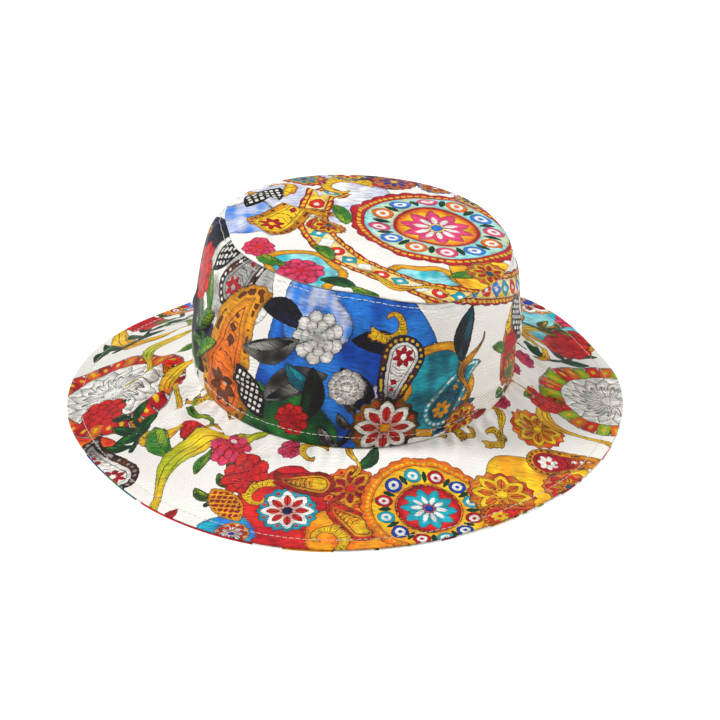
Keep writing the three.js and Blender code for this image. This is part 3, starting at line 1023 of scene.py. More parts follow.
    def paisley(self, row: Motif) -> None:
        """A curled drop: a body, a border of spots, an inner drop, a flower in its head and veins to its tip.

        Args:
            row: The motif, whose size is negative where it curls to the left.
        """
        body, inner, heart, spot = row.inks
        where, p, size = self.near(row, 1.25)
        hook = math.copysign(1.0, row.size)
        t = np.linspace(0, 1, 10)
        path = np.stack([hook * size * (0.1 * np.sin(t * 2.2) + 0.34 * t ** 3),
                         size * 0.74 * np.sin(1.5 * t)], -1)
        edge, along = stroke(p, path, size * (0.27 * (1 - t) ** 0.75 + 0.012))
        self.lay(Layer.MOTIF, where, edge, body, shade=(Ink.BROWN, 0.6 * clouds(p, 0.24 * size)))
        self.lay(Layer.INNER, where, edge - 0.085 * size, inner,
                 shade=(body, 0.7 * smooth(0.25, 0.6, along / size)))
        below = np.arctan2(p[:, 0], -p[:, 1])
        run = np.where(along > 0.02 * size, along, below * 0.22 * size)
        beads = 0.022 * size - np.hypot(edge - 0.042 * size, wrap(run, 0.075 * size))
        self.detail(where, beads, spot)
        flower = petal(raised(fan_out(p, 7), 0.03 * size), 0.12 * size, 0.07 * size)
        self.detail(where, flower, heart)
        for k in range(3):
            lozenge = np.abs(p - path[3 + k] * np.array([0.9, 1.0])).sum(axis=1)
            self.detail(where, (0.05 - 0.012 * k) * size - lozenge, heart)
        self.draw(where, edge - 0.13 * size, edge)
        self.draw(where, wrap(along - 0.4 * np.abs(edge), 0.09 * size),
                  np.minimum(edge - 0.15 * size, along - 3))

    def leaf(self, row: Motif) -> None:
        """A leaf: an almond with a lit half, a midrib and side veins.

        Args:
            row: The motif.
        """
        dark, light = row.inks
        where, p, size = self.near(row, 1.1)
        p[:, 0] += 0.1 * size * np.sin(p[:, 1] / size * math.pi)
        shape = petal(p, size, 0.38 * size)
        self.lay(Layer.MOTIF, where, shape, dark, shade=(light, 0.5 * clouds(p, 0.3 * size)))
        self.lay(Layer.INNER, where, np.minimum(shape - 0.03 * size, p[:, 0] - 0.02 * size), light,
                 shade=(dark, smooth(0.7, 0.2, p[:, 1] / size)))
        self.draw(where, wrap(p[:, 1] - np.abs(p[:, 0]) * 1.2, 0.17 * size), shape - 0.04 * size)

    def spray(self, row: Motif) -> None:
        """A curved stem with leaves on both sides and a full flower at its end.

        Args:
            row: The motif.
        """
        stem, light, bloom, bloom_light = row.inks
        where, p, size = self.near(row, 1.5)
        t = np.linspace(0, 1, 12)
        path = np.stack([0.22 * size * np.sin(3.4 * t), size * t], -1)
        line, _ = stroke(p, path, 0.7 + 0.5 * (1 - t))
        self.lay(Layer.MOTIF, where, line, stem)
        for k, at in enumerate((1, 3, 4, 6, 7, 9)):
            side = -1 if k % 2 else 1
            self.leaf(row.at(Kind.LEAF, *path[at], side * (62 - 3 * at), size * (0.42 - 0.016 * at),
                             (stem, light)))
        self.bloom(row.at(Kind.BLOOM, *path[-1], 0, size * 0.28, (bloom, bloom_light)))

    def bloom(self, row: Motif) -> None:
        """A full flower: whorls of frilled petals, each dark at its root and lit at its lip.

        Args:
            row: The motif.
        """
        body, light = row.inks
        frills = 21
        where, p, r = self.near(row, 1.4)
        radius, angle = polar(p)
        for layer, reach, petals in ((Layer.MOTIF, 1.0, 9), (Layer.INNER, 0.66, 7), (Layer.DETAIL, 0.34, 5)):
            turned = angle * petals / 2 + petals
            lip = reach * r * (0.86 + 0.14 * np.abs(np.sin(turned)) - 0.045 * np.abs(np.sin(frills * angle)))
            self.lay(layer, where, lip - radius, body, gap=0.3,
                     shade=(light, smooth(0.35, 1.0, radius / lip) * np.abs(np.sin(turned))))
            self.draw(where, wrap(turned, math.pi) * radius / petals * 2,
                      np.minimum(lip - radius, radius - 0.55 * reach * r))

    def fan(self, row: Motif) -> None:
        """An engraved fan: a disc with shaded feather scales, edged with small coloured blocks.

        Args:
            row: The motif.
        """
        feathers, rings, blocks = 16, 5.2, 30
        where, p, r = self.near(row, 1.1)
        radius, angle = polar(p)
        swirl = angle * feathers + 2.2 * np.sin(radius / r * 7)
        scale = radius / r * rings + 0.3 * np.cos(swirl)
        self.lay(Layer.FIELD, where, r - radius, Ink.WHITE, shade=(Ink.GREY, 0.85 * (scale % 1) ** 1.5))
        inside = np.minimum(radius - 0.12 * r, 0.74 * r - radius)
        self.draw(where, wrap(swirl + math.pi * np.floor(scale), TURN) / feathers * radius, inside)
        self.draw(where, wrap(scale, 1.0) * r / rings, inside)
        for k, ink in enumerate(row.inks):
            block = fan_out(p, blocks // len(row.inks), k * TURN / blocks)
            shape = np.minimum(np.minimum(block[:, 1] - 0.7 * r, 0.985 * r - block[:, 1]),
                               0.082 * r - np.abs(block[:, 0]))
            self.lay(Layer.MOTIF, where, shape, ink, gap=0.2)
            seed = raised(block, 0.85 * r) * np.array([1.0, 0.5])
            self.detail(where, disc(seed, 0.03 * r), Ink.YELLOW)

    def border(self, row: Motif) -> None:
        """A border, straight or bent: roped edges, and lozenges and spots between them.

        Args:
            row: The motif.
        """
        edge_ink, fill, *cells = row.inks
        where, p, w = self.near(row, 0.5 * row.long + 1)
        half, pitch = 0.5 * row.long * w, 0.62 * w
        if row.bend:
            radius, angle = polar(raised(p, -row.bend))
            p = np.stack([row.bend * angle, radius - row.bend], -1)
        x, y = p[:, 0], np.abs(p[:, 1])
        ends = half - np.abs(x)
        scallop = 0.05 * w * np.abs(np.cos(math.pi * x / pitch))
        self.lay(Layer.FIELD, where, np.minimum(0.47 * w - y + scallop, ends), edge_ink)
        self.lay(Layer.MOTIF, where, np.minimum(0.3 * w - y, ends - 0.1 * w), fill,
                 shade=(Ink.BROWN if fill is Ink.SAFFRON else Ink.WHITE, 0.5 * clouds(p, 0.5 * w)))
        rope = np.minimum(0.05 * w - np.abs(y - 0.4 * w),
                          0.09 * w - np.abs(wrap(x + np.sign(p[:, 1]) * y, 0.25 * w)))
        self.detail(where, np.minimum(rope, ends), Ink.YELLOW)
        for k, ink in enumerate(cells):
            cell = np.stack([wrap(x - pitch * k, pitch * len(cells)), p[:, 1]], -1)
            lozenge = 0.7 * (0.3 * w - np.abs(cell).sum(axis=1))
            shape = disc(cell, 0.24 * w) if k % 2 else lozenge
            self.lay(Layer.INNER, where, np.minimum(shape, ends), ink, gap=0.2)
            self.detail(where, np.minimum(disc(cell, 0.09 * w), ends), Ink.WHITE)

    def ribbon(self, row: Motif) -> None:
        """A waving brush stroke that swells and thins, with a shaded side and a fine line along it.

        Args:
            row: The motif.
        """
        body, dark = row.inks
        where, p, size = self.near(row, 0.75)
        t = np.linspace(0, 1, 18)
        path = np.stack([0.13 * size * np.sin(TURN * 1.25 * t + 0.4), size * (t - 0.5)], -1)
        radii = size * (0.012 + 0.055 * np.sin(math.pi * t) * (0.55 + 0.45 * np.cos(TURN * 1.6 * t)))
        edge, along = stroke(p, path, radii)
        middle, _ = stroke(p - np.array([0.012 * size, 0]), path, 0 * t)
        self.lay(Layer.MOTIF, where, edge, body, shade=(dark, 0.4 + 0.4 * np.sin(along / size * 13)))
        self.draw(where, -middle - 0.02 * size, edge - 0.5)

    def scroll(self, row: Motif) -> None:
        """A curl of leafwork: a spiral stroke that swells, with smaller curls off its back.

        Args:
            row: The motif.
        """
        body, light = row.inks
        where, p, size = self.near(row, 1)
        t = np.linspace(0, 1, 18)
        turn, reach = 5.2 * t, size * (0.5 - 0.4 * t)
        path = np.stack([reach * np.cos(turn), reach * np.sin(turn)], -1)
        edge, along = stroke(p, path, size * (0.02 + 0.085 * np.sin(math.pi * np.sqrt(t))))
        for k in (2, 5, 8):
            outward = path[k] / np.hypot(*path[k])
            back = np.array([outward[1], -outward[0]])
            hook = np.array([path[k], path[k] + size * (0.1 * outward + 0.07 * back),
                             path[k] + size * (0.13 * outward + 0.19 * back)])
            curl, _ = stroke(p, hook, size * np.array([0.06, 0.055, 0.03]))
            edge = np.maximum(edge, curl)
        self.lay(Layer.MOTIF, where, edge, body, shade=(light, smooth(0.0, 0.05 * size, edge)))
        self.draw(where, wrap(along, 0.12 * size), edge - 0.028 * size)

    def lattice(self, row: Motif) -> None:
        """An almond of net: a dark field crossed by rows of light diamonds.

        Args:
            row: The motif.
        """
        dark, light = row.inks
        pitch, diamond = 4.4, 1.35
        where, p, size = self.near(row, 1.1)
        shape = petal(p, size, 0.5 * size)
        self.lay(Layer.MOTIF, where, shape, dark)
        cell = np.abs(np.stack([wrap(p[:, 0] + p[:, 1], pitch), wrap(p[:, 0] - p[:, 1], pitch)])).max(axis=0)
        self.lay(Layer.INNER, where, np.minimum(diamond - cell, shape - 1), light, gap=0.0)

    def store(self, mesh: Mesh) -> None:
        """Writes the layers into the mesh as point attributes that the cloth's material reads.

        Args:
            mesh: The cloth's mesh.
        """
        for layer in Layer:
            edge = mesh.attributes.new(f"edge_{layer.value}", "FLOAT", "POINT")
            edge.data.foreach_set("value", self.edges[layer].astype(np.float32))
            ink = mesh.attributes.new(f"ink_{layer.value}", "FLOAT_COLOR", "POINT")
            colours = np.concatenate([self.inks[layer], np.ones((len(self.place), 1))], 1)
            ink.data.foreach_set("color", colours.astype(np.float32).ravel())
        drawn = mesh.attributes.new("line", "FLOAT", "POINT")
        drawn.data.foreach_set("value", self.lines.astype(np.float32))


# The motifs of each cloth, from the first printed to the last. On the tip and the brim x and y lie in plan,
# from the middle of the tip's seam and of the rim. On the band x runs round it from the front and y up from
# its foot.
TIP_PRINT = motif_table("""
patch -34 44 0 46 LILAC WHITE
patch -66 -4 0 22 LILAC SKY
patch 6 84 0 26 NAVY CRIMSON
patch -36 -64 0 24 AQUA TURQUOISE SAFFRON
patch 30 -60 0 20 TURQUOISE AQUA SAFFRON
patch 80 12 0 16 AQUA TURQUOISE SAFFRON
patch 62 -46 0 22 YELLOW SAFFRON
border -11 -45 133 17 CRIMSON YELLOW TURQUOISE RED WHITE 74 12
medallion 36 10 8 47 CRIMSON AQUA YELLOW PINK ORANGE SKY
paisley -52 -8 -30 46 SAFFRON YELLOW CRIMSON BROWN
rosette -22 -8 0 9 ORANGE YELLOW RED TEAL
leaf -30 -30 -150 20 LEAF LIME
scroll -14 52 20 34 SAFFRON YELLOW
scroll -52 44 200 30 ORANGE YELLOW
lattice -66 12 -30 34 BLACK WHITE
rosette -36 62 0 12 RED SAFFRON TURQUOISE NAVY
rosette -12 76 0 11 TEAL YELLOW RED WHITE
rosette 14 70 0 12 CRIMSON ORANGE BLUE YELLOW
rosette 37 70 0 10 BLUE SAFFRON RED WHITE
rosette 57 57 0 10 RED YELLOW TEAL WHITE
ribbon 16 -66 80 46 YELLOW SAFFRON
leaf 40 -52 -70 24 LEAF LIME
leaf -20 22 200 22 LEAF LIME
rosette 62 -40 0 12 ORANGE YELLOW RED TEAL
bloom -36 -62 0 13 CRIMSON PINK
leaf -44 -56 50 20 LEAF LIME
leaf -26 -70 -110 20 BOTTLE LEAF
bloom -58 -38 0 9 RED PINK
""")
BAND_PRINT = motif_table("""
patch -122 46 0 40 BLACK NAVY
patch -88 64 0 27 GREY WHITE
patch -12 44 0 46 SKY BLUE
patch -30 66 0 19 LILAC SKY
patch 16 26 0 15 SKY LILAC
patch -44 2 0 30 BOTTLE LEAF
patch 40 30 0 25 TEAL TURQUOISE SAFFRON
patch 170 40 0 40 NAVY BLUE
patch 236 44 0 48 TURQUOISE TEAL SAFFRON
patch -196 40 0 44 CRIMSON RED
patch -256 30 0 34 SKY BLUE
patch 120 6 0 22 CRIMSON RED SAFFRON
border 96 73 -18 17 CRIMSON YELLOW TURQUOISE RED SKY 0 6.6
border 132 26 74 15 CRIMSON SAFFRON TURQUOISE RED BLACK 60 4.8
paisley -84 66 -14 40 BLACK GREY CRIMSON WHITE
lattice -106 66 -20 34 BLACK WHITE
leaf -96 46 30 24 LEAF LIME
leaf -72 44 150 22 BOTTLE LEAF
leaf -62 66 -100 30 BLACK NAVY
paisley -80 14 8 72 SAFFRON ORANGE BROWN BROWN
spray -112 2 8 56 LEAF LIME CRIMSON RED
leaf -52 18 -58 40 BLACK GREY
bloom -26 57 0 14 GREY WHITE
leaf -36 54 112 34 BLACK GREY
leaf -8 58 -98 32 BLACK NAVY
scroll 12 70 200 22 SAFFRON YELLOW
leaf -22 30 60 22 TEAL TURQUOISE
leaf -26 42 176 30 BLACK BOTTLE
leaf -12 44 214 32 BLACK NAVY
spray -12 -2 -10 36 BLACK GREY WHITE GREY
paisley 20 52 152 -40 NAVY WHITE CRIMSON YELLOW
rosette 14 12 0 17 BLACK WHITE RED SAFFRON
lattice -50 8 40 30 BLACK WHITE
bloom -34 12 0 9 CRIMSON RED
leaf 54 44 -14 32 BLACK TEAL
leaf 40 2 -60 30 NAVY TURQUOISE
paisley 44 18 -22 38 TURQUOISE TEAL SAFFRON WHITE
rosette 58 6 0 10 ORANGE YELLOW RED TEAL
ribbon 60 36 -16 44 SAFFRON BROWN
paisley 100 20 24 40 ORANGE CRIMSON SAFFRON BROWN
rosette 112 6 0 12 CRIMSON SAFFRON ORANGE YELLOW
scroll 106 44 30 30 SAFFRON YELLOW
spray 94 0 -14 36 LEAF LIME CRIMSON RED
lattice 116 30 16 36 BLACK WHITE
paisley 150 26 -8 50 SAFFRON BLACK ORANGE WHITE
rosette 176 58 0 16 ORANGE WHITE RED TEAL
spray 196 4 10 50 BLACK LEAF CRIMSON PINK
medallion 236 44 0 33 ORANGE NAVY WHITE RED YELLOW SKY
paisley -150 30 14 52 SAFFRON WHITE CRIMSON TEAL
paisley -190 20 12 56 SKY WHITE CRIMSON NAVY
rosette -168 66 0 12 RED SAFFRON TURQUOISE NAVY
spray -226 4 4 52 BOTTLE LIME ORANGE YELLOW
rosette -248 54 0 18 SAFFRON WHITE CRIMSON BLUE
ribbon -214 40 30 50 YELLOW SAFFRON
""")
BRIM_PRINT = motif_table("""
patch -34 -146 0 34 CRIMSON RED
patch 4 -154 0 24 ORANGE SAFFRON
patch -62 -152 0 16 SKY TURQUOISE
patch 120 92 0 40 AQUA TURQUOISE SAFFRON
patch -70 146 0 42 SKY BLUE
patch 100 -100 0 26 YELLOW SAFFRON
patch -142 -60 0 17 RED ORANGE
fan -128 -12 0 40 RED ORANGE CRIMSON
fan 146 -8 0 40 ORANGE LIME RED
fan 20 144 0 36 RED SAFFRON BLUE
ribbon -112 56 48 100 YELLOW SAFFRON
ribbon -104 22 -34 70 YELLOW LIME
ribbon -92 -20 -14 60 YELLOW SAFFRON
ribbon -96 -62 62 66 YELLOW SAFFRON
leaf -92 -84 20 30 LEAF LIME
bloom -80 -70 0 8 RED CRIMSON
leaf -104 -46 130 26 BOTTLE LEAF
spray -132 44 -22 46 BOTTLE LEAF CRIMSON RED
spray -96 82 34 44 BOTTLE LIME RED PINK
ribbon -84 -98 -50 110 YELLOW LIME
spray -114 -72 20 46 BOTTLE LEAF CRIMSON RED
paisley -122 -92 44 48 BLACK WHITE CRIMSON GREY
spray -72 -126 -20 40 BOTTLE LIME RED PINK
bloom -52 -108 0 13 CRIMSON RED
rosette -30 -134 0 15 TURQUOISE WHITE RED NAVY
rosette 2 -120 0 14 ORANGE SAFFRON CRIMSON RED
lattice -54 -140 30 30 SAFFRON CRIMSON
paisley 8 -148 60 32 RED SAFFRON YELLOW BROWN
scroll -12 -156 -70 26 SAFFRON YELLOW
scroll -44 -124 40 20 SAFFRON YELLOW
paisley -14 -116 100 28 CRIMSON SAFFRON YELLOW BROWN
rosette -58 -150 0 9 SAFFRON RED WHITE BLUE
medallion 42 -132 20 35 ORANGE YELLOW RED TURQUOISE CRIMSON BLUE
rosette 80 -116 0 17 CRIMSON YELLOW ORANGE YELLOW
paisley 78 -134 -60 34 ORANGE RED YELLOW BROWN
paisley 106 -82 -64 40 SAFFRON CRIMSON WHITE BROWN
rosette 116 -104 0 14 ORANGE RED SAFFRON TEAL
rosette 102 -56 0 14 RED YELLOW ORANGE YELLOW
ribbon 118 -44 40 70 YELLOW SAFFRON
leaf 96 -30 -60 26 LEAF LIME
bloom 108 -24 0 11 CRIMSON RED
spray 106 24 -30 48 BOTTLE LEAF CRIMSON RED
bloom 126 54 0 15 CRIMSON RED
ribbon 108 56 -10 70 YELLOW SAFFRON
spray 96 78 -70 40 BOTTLE YELLOW RED PINK
rosette 108 116 0 18 SAFFRON WHITE CRIMSON BLUE
medallion 66 126 0 28 CRIMSON AQUA WHITE PINK SAFFRON SKY
paisley -26 124 60 46 ORANGE SAFFRON CRIMSON BROWN
spray -112 104 70 46 LEAF LIME RED PINK
medallion -92 122 0 26 ORANGE YELLOW RED SKY CRIMSON TEAL
""")
UNDER_PRINT = motif_table("""
patch -70 -132 0 40 CRIMSON RED
patch -118 -88 0 30 LEAF BLUE
patch 60 136 0 44 TURQUOISE TEAL
medallion -16 -132 0 34 SAFFRON WHITE TEAL BLUE RED SKY
paisley 50 -130 -80 50 SAFFRON WHITE CRIMSON TEAL
fan 128 -34 0 38 RED ORANGE CRIMSON
paisley 118 50 20 54 SKY WHITE CRIMSON YELLOW
medallion 34 132 0 36 ORANGE NAVY WHITE RED YELLOW SKY
paisley -60 122 60 54 SAFFRON BLACK ORANGE WHITE
medallion -126 20 0 38 SAFFRON WHITE TEAL BLUE RED SKY
spray -100 70 20 50 BOTTLE LEAF CRIMSON RED
ribbon -120 -40 20 80 YELLOW SAFFRON
spray 92 100 -20 50 BOTTLE LIME RED PINK
spray 96 -90 30 50 BOTTLE LEAF CRIMSON PINK
""")
SMALL_PRINT = motif_table("""
leaf 0 0 0 16 LEAF LIME
bloom 0 0 0 6.5 CRIMSON PINK
ribbon 0 0 0 34 YELLOW SAFFRON
leaf 0 0 0 14 CRIMSON RED
scroll 0 0 0 17 SAFFRON YELLOW
leaf 0 0 0 18 BOTTLE LEAF
ribbon 0 0 0 30 LIME LEAF
""")


# ---- Materials ----

Socket = bpy.types.NodeSocket


@dataclass(frozen=True)
class Graph:
    """Adds and links nodes in one tree."""

    tree: NodeTree

    def node(self, kind: str, settings: dict | None = None, **inputs: object) -> Node:
        """Adds a node, sets its properties, and feeds its inputs by name with sockets or values.

        Args:
            kind: The node's type, less its first words.
            settings: Properties of the node.
            inputs: Input names, with underscores for spaces.

        Returns:
            The node.
        """
        made = self.tree.nodes.new("ShaderNode" + kind)
        for name, value in (settings or {}).items():
            setattr(made, name, value)
        for name, value in inputs.items():
            self.feed(made.inputs[name.replace("_", " ")], value)
        return made

    def feed(self, socket: Socket, value: object) -> None:
        """Links a socket, or sets its value.

        Args:
            socket: An input socket.
            value: What it takes: an output socket or a plain value.
        """
        if isinstance(value, Socket):
            self.tree.links.new(value, socket)
        else:
            socket.default_value = value

    def math(self, operation: str, *values: object) -> Socket:
        """Adds a Math node.

        Args:
            operation: What the node works out.
            values: Its inputs in order.

        Returns:
            Its result.
        """
        made = self.node("Math", {"operation": operation})
        for socket, value in zip(made.inputs, values):
            self.feed(socket, value)
        return made.outputs[0]

    def add(self, first: object, second: object) -> Socket:
        """Adds two values."""
        return self.math("ADD", first, second)

    def times(self, first: object, second: object) -> Socket:
        """Multiplies two values."""
        return self.math("MULTIPLY", first, second)

    def wave(self, along: object, length: object) -> Socket:
        """A sine of the given length."""
        return self.math("SINE", self.times(self.math("DIVIDE", along, length), TURN))

    def ramp(self, value: object, start: float, end: float, low: float = 0.0, high: float = 1.0,
             kind: str = "SMOOTHSTEP") -> Socket:
        """Maps a range of values onto another and stops at its ends."""
        return self.node("MapRange", {"interpolation_type": kind}, Value=value, From_Min=start,
                         From_Max=end, To_Min=low, To_Max=high).outputs["Result"]

    def scaled(self, vector: object, factor: object) -> Socket:
        """Multiplies a vector or a colour by one value."""
        return self.node("VectorMath", {"operation": "SCALE"}, Vector=vector, Scale=factor).outputs[0]

    def mix(self, factor: object, first: object, second: object) -> Socket:
        """Mixes two colours.

        Args:
            factor: Share of the second.
            first: The first colour.
            second: The second colour.

        Returns:
            The mixed colour.
        """
        made = self.node("Mix", {"data_type": "RGBA"})
        colour_a, colour_b = (s for s in made.inputs if s.type == "RGBA")
        for socket, value in ((made.inputs[0], factor), (colour_a, first), (colour_b, second)):
            self.feed(socket, value)
        return next(s for s in made.outputs if s.type == "RGBA")

    def noise(self, vector: Socket, scale: float, detail: float = 2.0, distortion: float = 0.0) -> Socket:
        """Adds a noise and returns its value round 0.5; its scale is beats to the vector's unit."""
        return self.node("TexNoise", Vector=vector, Scale=scale, Detail=detail,
                         Distortion=distortion).outputs[0]

    def wander(self, vector: Socket, scale: float, reach: float, detail: float = 2.0,
               distortion: float = 0.0) -> Socket:
        """A noise round 0 that reaches about half its reach to each side."""
        return self.times(self.math("SUBTRACT", self.noise(vector, scale, detail, distortion), 0.5), reach)

    def attribute(self, name: str, output: str = "Fac") -> Socket:
        """Reads a point attribute of the mesh."""
        return self.node("Attribute", {"attribute_name": name}).outputs[output]

    def bump(self, height: Socket, strength: float, distance: float) -> Socket:
        """Turns a height into a normal."""
        return self.node("Bump", Strength=strength, Distance=distance, Height=height).outputs[0]


def new_group(name: str, inputs: dict[str, str], outputs: dict[str, str]) -> tuple[Graph, dict, Node]:
    """Starts a shader node group.

    Args:
        name: The group's name.
        inputs: Kinds of its input sockets by name.
        outputs: Kinds of its output sockets by name.

    Returns:
        The graph of its tree, its input sockets by name, and its output node.
    """
    tree = bpy.data.node_groups.new(name, "ShaderNodeTree")
    for in_out, sockets in (("INPUT", inputs), ("OUTPUT", outputs)):
        for label, kind in sockets.items():
            tree.interface.new_socket(label, in_out=in_out, socket_type=f"NodeSocket{kind}")
    graph = Graph(tree)
    entry, leave = (tree.nodes.new(f"NodeGroup{end}") for end in ("Input", "Output"))
    return graph, {label: entry.outputs[label] for label in inputs}, leave


def new_material(name: str) -> tuple[Material, Graph, Node]:
    """Starts a material.

    Args:
        name: The material's name.

    Returns:
        The material, the graph of its tree, and its shader.
    """
    made = bpy.data.materials.new(name)
    made.use_nodes = True
    return made, Graph(made.node_tree), made.node_tree.nodes["Principled BSDF"]


@dataclass(frozen=True)
class InkLayer:
    """Node group that prints one ink layer over a colour; lengths in millimetres."""

    blur: float = 0.14  # half width of an edge
    rim: float = 2.6  # how far in from its edge the ink is darker
    rim_tone: float = 0.74

    def group(self) -> NodeTree:
        """Makes the group: a dark outline, then the ink, darker near its edge.

        Returns:
            The group's tree.
        """
        graph, get, out = new_group(
            "ink_layer", {"Under": "Color", "Ink": "Color", "Edge": "Float", "Outline": "Float",
                          "Outline Ink": "Color"}, {"Color": "Color"})
        outline = graph.ramp(graph.add(get["Edge"], get["Outline"]), -self.blur, self.blur)
        fill = graph.ramp(get["Edge"], -self.blur, self.blur)
        shaded = graph.scaled(get["Ink"], graph.ramp(get["Edge"], 0.0, self.rim, self.rim_tone, 1.0))
        outlined = graph.mix(outline, get["Under"], get["Outline Ink"])
        graph.feed(out.inputs["Color"], graph.mix(fill, outlined, shaded))
        return graph.tree


@dataclass(frozen=True)
class FiguredCotton:
    """Node group for a figured cotton: fine slanted twill, and figures with wavy level ribs.

    The twill is a sine across the cloth's diagonal; the ribs are a sine up the cloth whose phase wanders.
    Figures are where a product of two sines, bent by noise, passes a limit. Each wander is a noise's beats to
    the millimetre and how far it reaches in millimetres.
    """

    figure_wander: tuple = (0.045, 34.0)
    figure_edge: tuple = (-0.04, 0.12)
    twill_wander: tuple = (0.35, 0.9)
    rib_wander: tuple = (0.16, 5.0)
    yarn_scale: float = 2.4
    twill_height: float = 0.32
    twill_yarn: float = 0.35
    rib_height: float = 0.34
    rib_yarn: float = 0.3
    figure_height: float = 0.35
    height_range: tuple = (-0.35, 0.55)
    # The tone darkens the colour where the twill and ribs lie low: painted shade in the weave's grooves,
    # mixed with the yarn's own random tone.
    tone_range: tuple = (0.86, 1.04)

    def group(self) -> NodeTree:
        """Makes the group.

        Returns:
            The group's tree.
        """
        graph, get, out = new_group(
            "figured_cotton", {"Cloth": "Vector", "Twill": "Float", "Rib": "Float", "Figure": "Float"},
            {"Height": "Float", "Figure": "Float", "Tone": "Float"})
        cloth = get["Cloth"]
        parts = graph.node("SeparateXYZ", Vector=cloth)
        u, v = parts.outputs[0], parts.outputs[1]
        bent = graph.wander(cloth, *self.figure_wander)
        wave_u = graph.math("SINE", graph.math("DIVIDE", graph.add(u, bent), get["Figure"]))
        wave_v = graph.math("SINE", graph.math("DIVIDE", graph.math("SUBTRACT", v, bent), get["Figure"]))
        figure = graph.ramp(graph.times(wave_u, wave_v), *self.figure_edge)
        fine, reach = self.twill_wander
        diagonal = graph.times(graph.add(u, v), math.sqrt(0.5))
        twill = graph.wave(graph.add(diagonal, graph.times(graph.noise(cloth, fine), reach)), get["Twill"])
        slow, reach = self.rib_wander
        rib = graph.wave(graph.add(v, graph.times(graph.noise(cloth, slow, 1.0), reach)), get["Rib"])
        yarn = graph.noise(cloth, self.yarn_scale, 1.0)
        plain = graph.add(graph.times(twill, self.twill_height), graph.times(yarn, self.twill_yarn))
        ribbed = graph.add(graph.times(rib, self.rib_height), graph.times(yarn, self.rib_yarn))
        mixed = graph.node("Mix", {"data_type": "FLOAT"}, Factor=figure)
        graph.feed(mixed.inputs[2], plain)
        graph.feed(mixed.inputs[3], ribbed)
        height = mixed.outputs[0]
        graph.feed(out.inputs["Height"], graph.add(height, graph.times(figure, self.figure_height)))
        graph.feed(out.inputs["Figure"], figure)
        # Tone: painted shade taken from the weave's height, darker in its low places, with the yarn's random
        # tone.
        graph.feed(out.inputs["Tone"], graph.ramp(height, *self.height_range, *self.tone_range, "LINEAR"))
        return graph.tree


@dataclass(frozen=True)
class BrushMarks:
    """Node group for hand-painted ink: slow light and dark drifts, and broken strokes along one direction."""

    drift: tuple = (0.13, 1.3, 3.0, 0.6)  # beats to the millimetre, reach, detail, distortion
    strokes: tuple = (1.0, 1.5, 2.0, 0.4)  # the same, along cloth that is turned and drawn out
    slant: float = math.radians(38)
    drawn_out: tuple = (0.16, 0.9, 1.0)

    def group(self) -> NodeTree:
        """Makes the group.

        Returns:
            The group's tree.
        """
        graph, get, out = new_group("brush_marks", {"Cloth": "Vector", "Strength": "Float"},
                                    {"Tone": "Float"})
        turned = graph.node("Mapping", Vector=get["Cloth"], Rotation=(0, 0, self.slant),
                            Scale=self.drawn_out).outputs[0]
        mixed = graph.add(graph.wander(get["Cloth"], *self.drift), graph.wander(turned, *self.strokes))
        graph.feed(out.inputs["Tone"], graph.add(1.0, graph.times(mixed, get["Strength"])))
        return graph.tree


@dataclass(frozen=True)
class ClothFinish:
    """Finish of the printed figured cotton: its ground, inks and weave; display colours and millimetres."""

    ground: tuple = (0.918, 0.908, 0.882)
    outline_ink: tuple = (0.10, 0.07, 0.06)
    outlines: tuple = (0.32, 0.36, 0.34, 0.22, 0.0)  # width of each layer's outline
    wobble: tuple = (0.55, 1.25, 3.0)  # how unsteady the edges are: beats, reach, detail
    line_wobble: float = 0.5  # share of it that drawn lines have
    line_blur: float = 0.12
    line_strength: float = 0.8
    reverse_fade: float = 0.72  # how much of the ground shows on the side not printed
    twill: float = 1.15
    rib: float = 1.7
    figure: float = 7.5
    brush: float = 0.95
    roughness: tuple = (0.62, 0.5)  # of the ground weave and of its figures
    sheen: float = 0.04
    specular: float = 0.22
    bump: float = 0.28

    def material(self, name: str, groups: dict) -> Material:
        """Makes the material: ground, ink layers, drawn lines, brush marks and weave.

        Args:
            name: Name of the material.
            groups: The shared node groups by name.

        Returns:
            The material.
        """
        made, graph, shader = new_material(name)
        cloth = graph.node("UVMap", {"uv_map": "cloth"}).outputs[0]
        wobble = graph.wander(cloth, *self.wobble)
        brush = graph.node("Group", {"node_tree": groups["brush"]}, Cloth=cloth, Strength=self.brush)
        weave = graph.node("Group", {"node_tree": groups["weave"]}, Cloth=cloth, Twill=self.twill,
                           Rib=self.rib, Figure=self.figure)
        ground, dark = ((*linear(colour), 1.0) for colour in (self.ground, self.outline_ink))
        colour: object = ground
        for layer in Layer:
            ink = graph.scaled(graph.attribute(f"ink_{layer.value}", "Color"), brush.outputs[0])
            edge = graph.add(graph.attribute(f"edge_{layer.value}"), wobble)
            colour = graph.node("Group", {"node_tree": groups["ink"]}, Under=colour, Ink=ink,
                                Edge=edge, Outline=self.outlines[layer.value], Outline_Ink=dark).outputs[0]
        side = graph.add(graph.attribute("line"), graph.times(wobble, self.line_wobble))
        drawn = graph.ramp(graph.math("ABSOLUTE", side), LINE_HALF + self.line_blur,
                           LINE_HALF - self.line_blur, 0.0, self.line_strength)
        colour = graph.mix(drawn, colour, dark)
        faded = graph.mix(self.reverse_fade, colour, ground)
        colour = graph.mix(graph.attribute("printed"), faded, colour)
        # The weave's tone scales the colour: painted shade in the weave's grooves, with the yarn's random
        # tone.
        graph.feed(shader.inputs["Base Color"], graph.scaled(colour, weave.outputs["Tone"]))
        graph.feed(shader.inputs["Roughness"],
                   graph.ramp(weave.outputs["Figure"], 0, 1, *self.roughness, "LINEAR"))
        shader.inputs["Specular IOR Level"].default_value = self.specular
        shader.inputs["Sheen Weight"].default_value = self.sheen
        graph.feed(shader.inputs["Normal"], graph.bump(weave.outputs["Height"], 1.0, self.bump * MM))
        return made


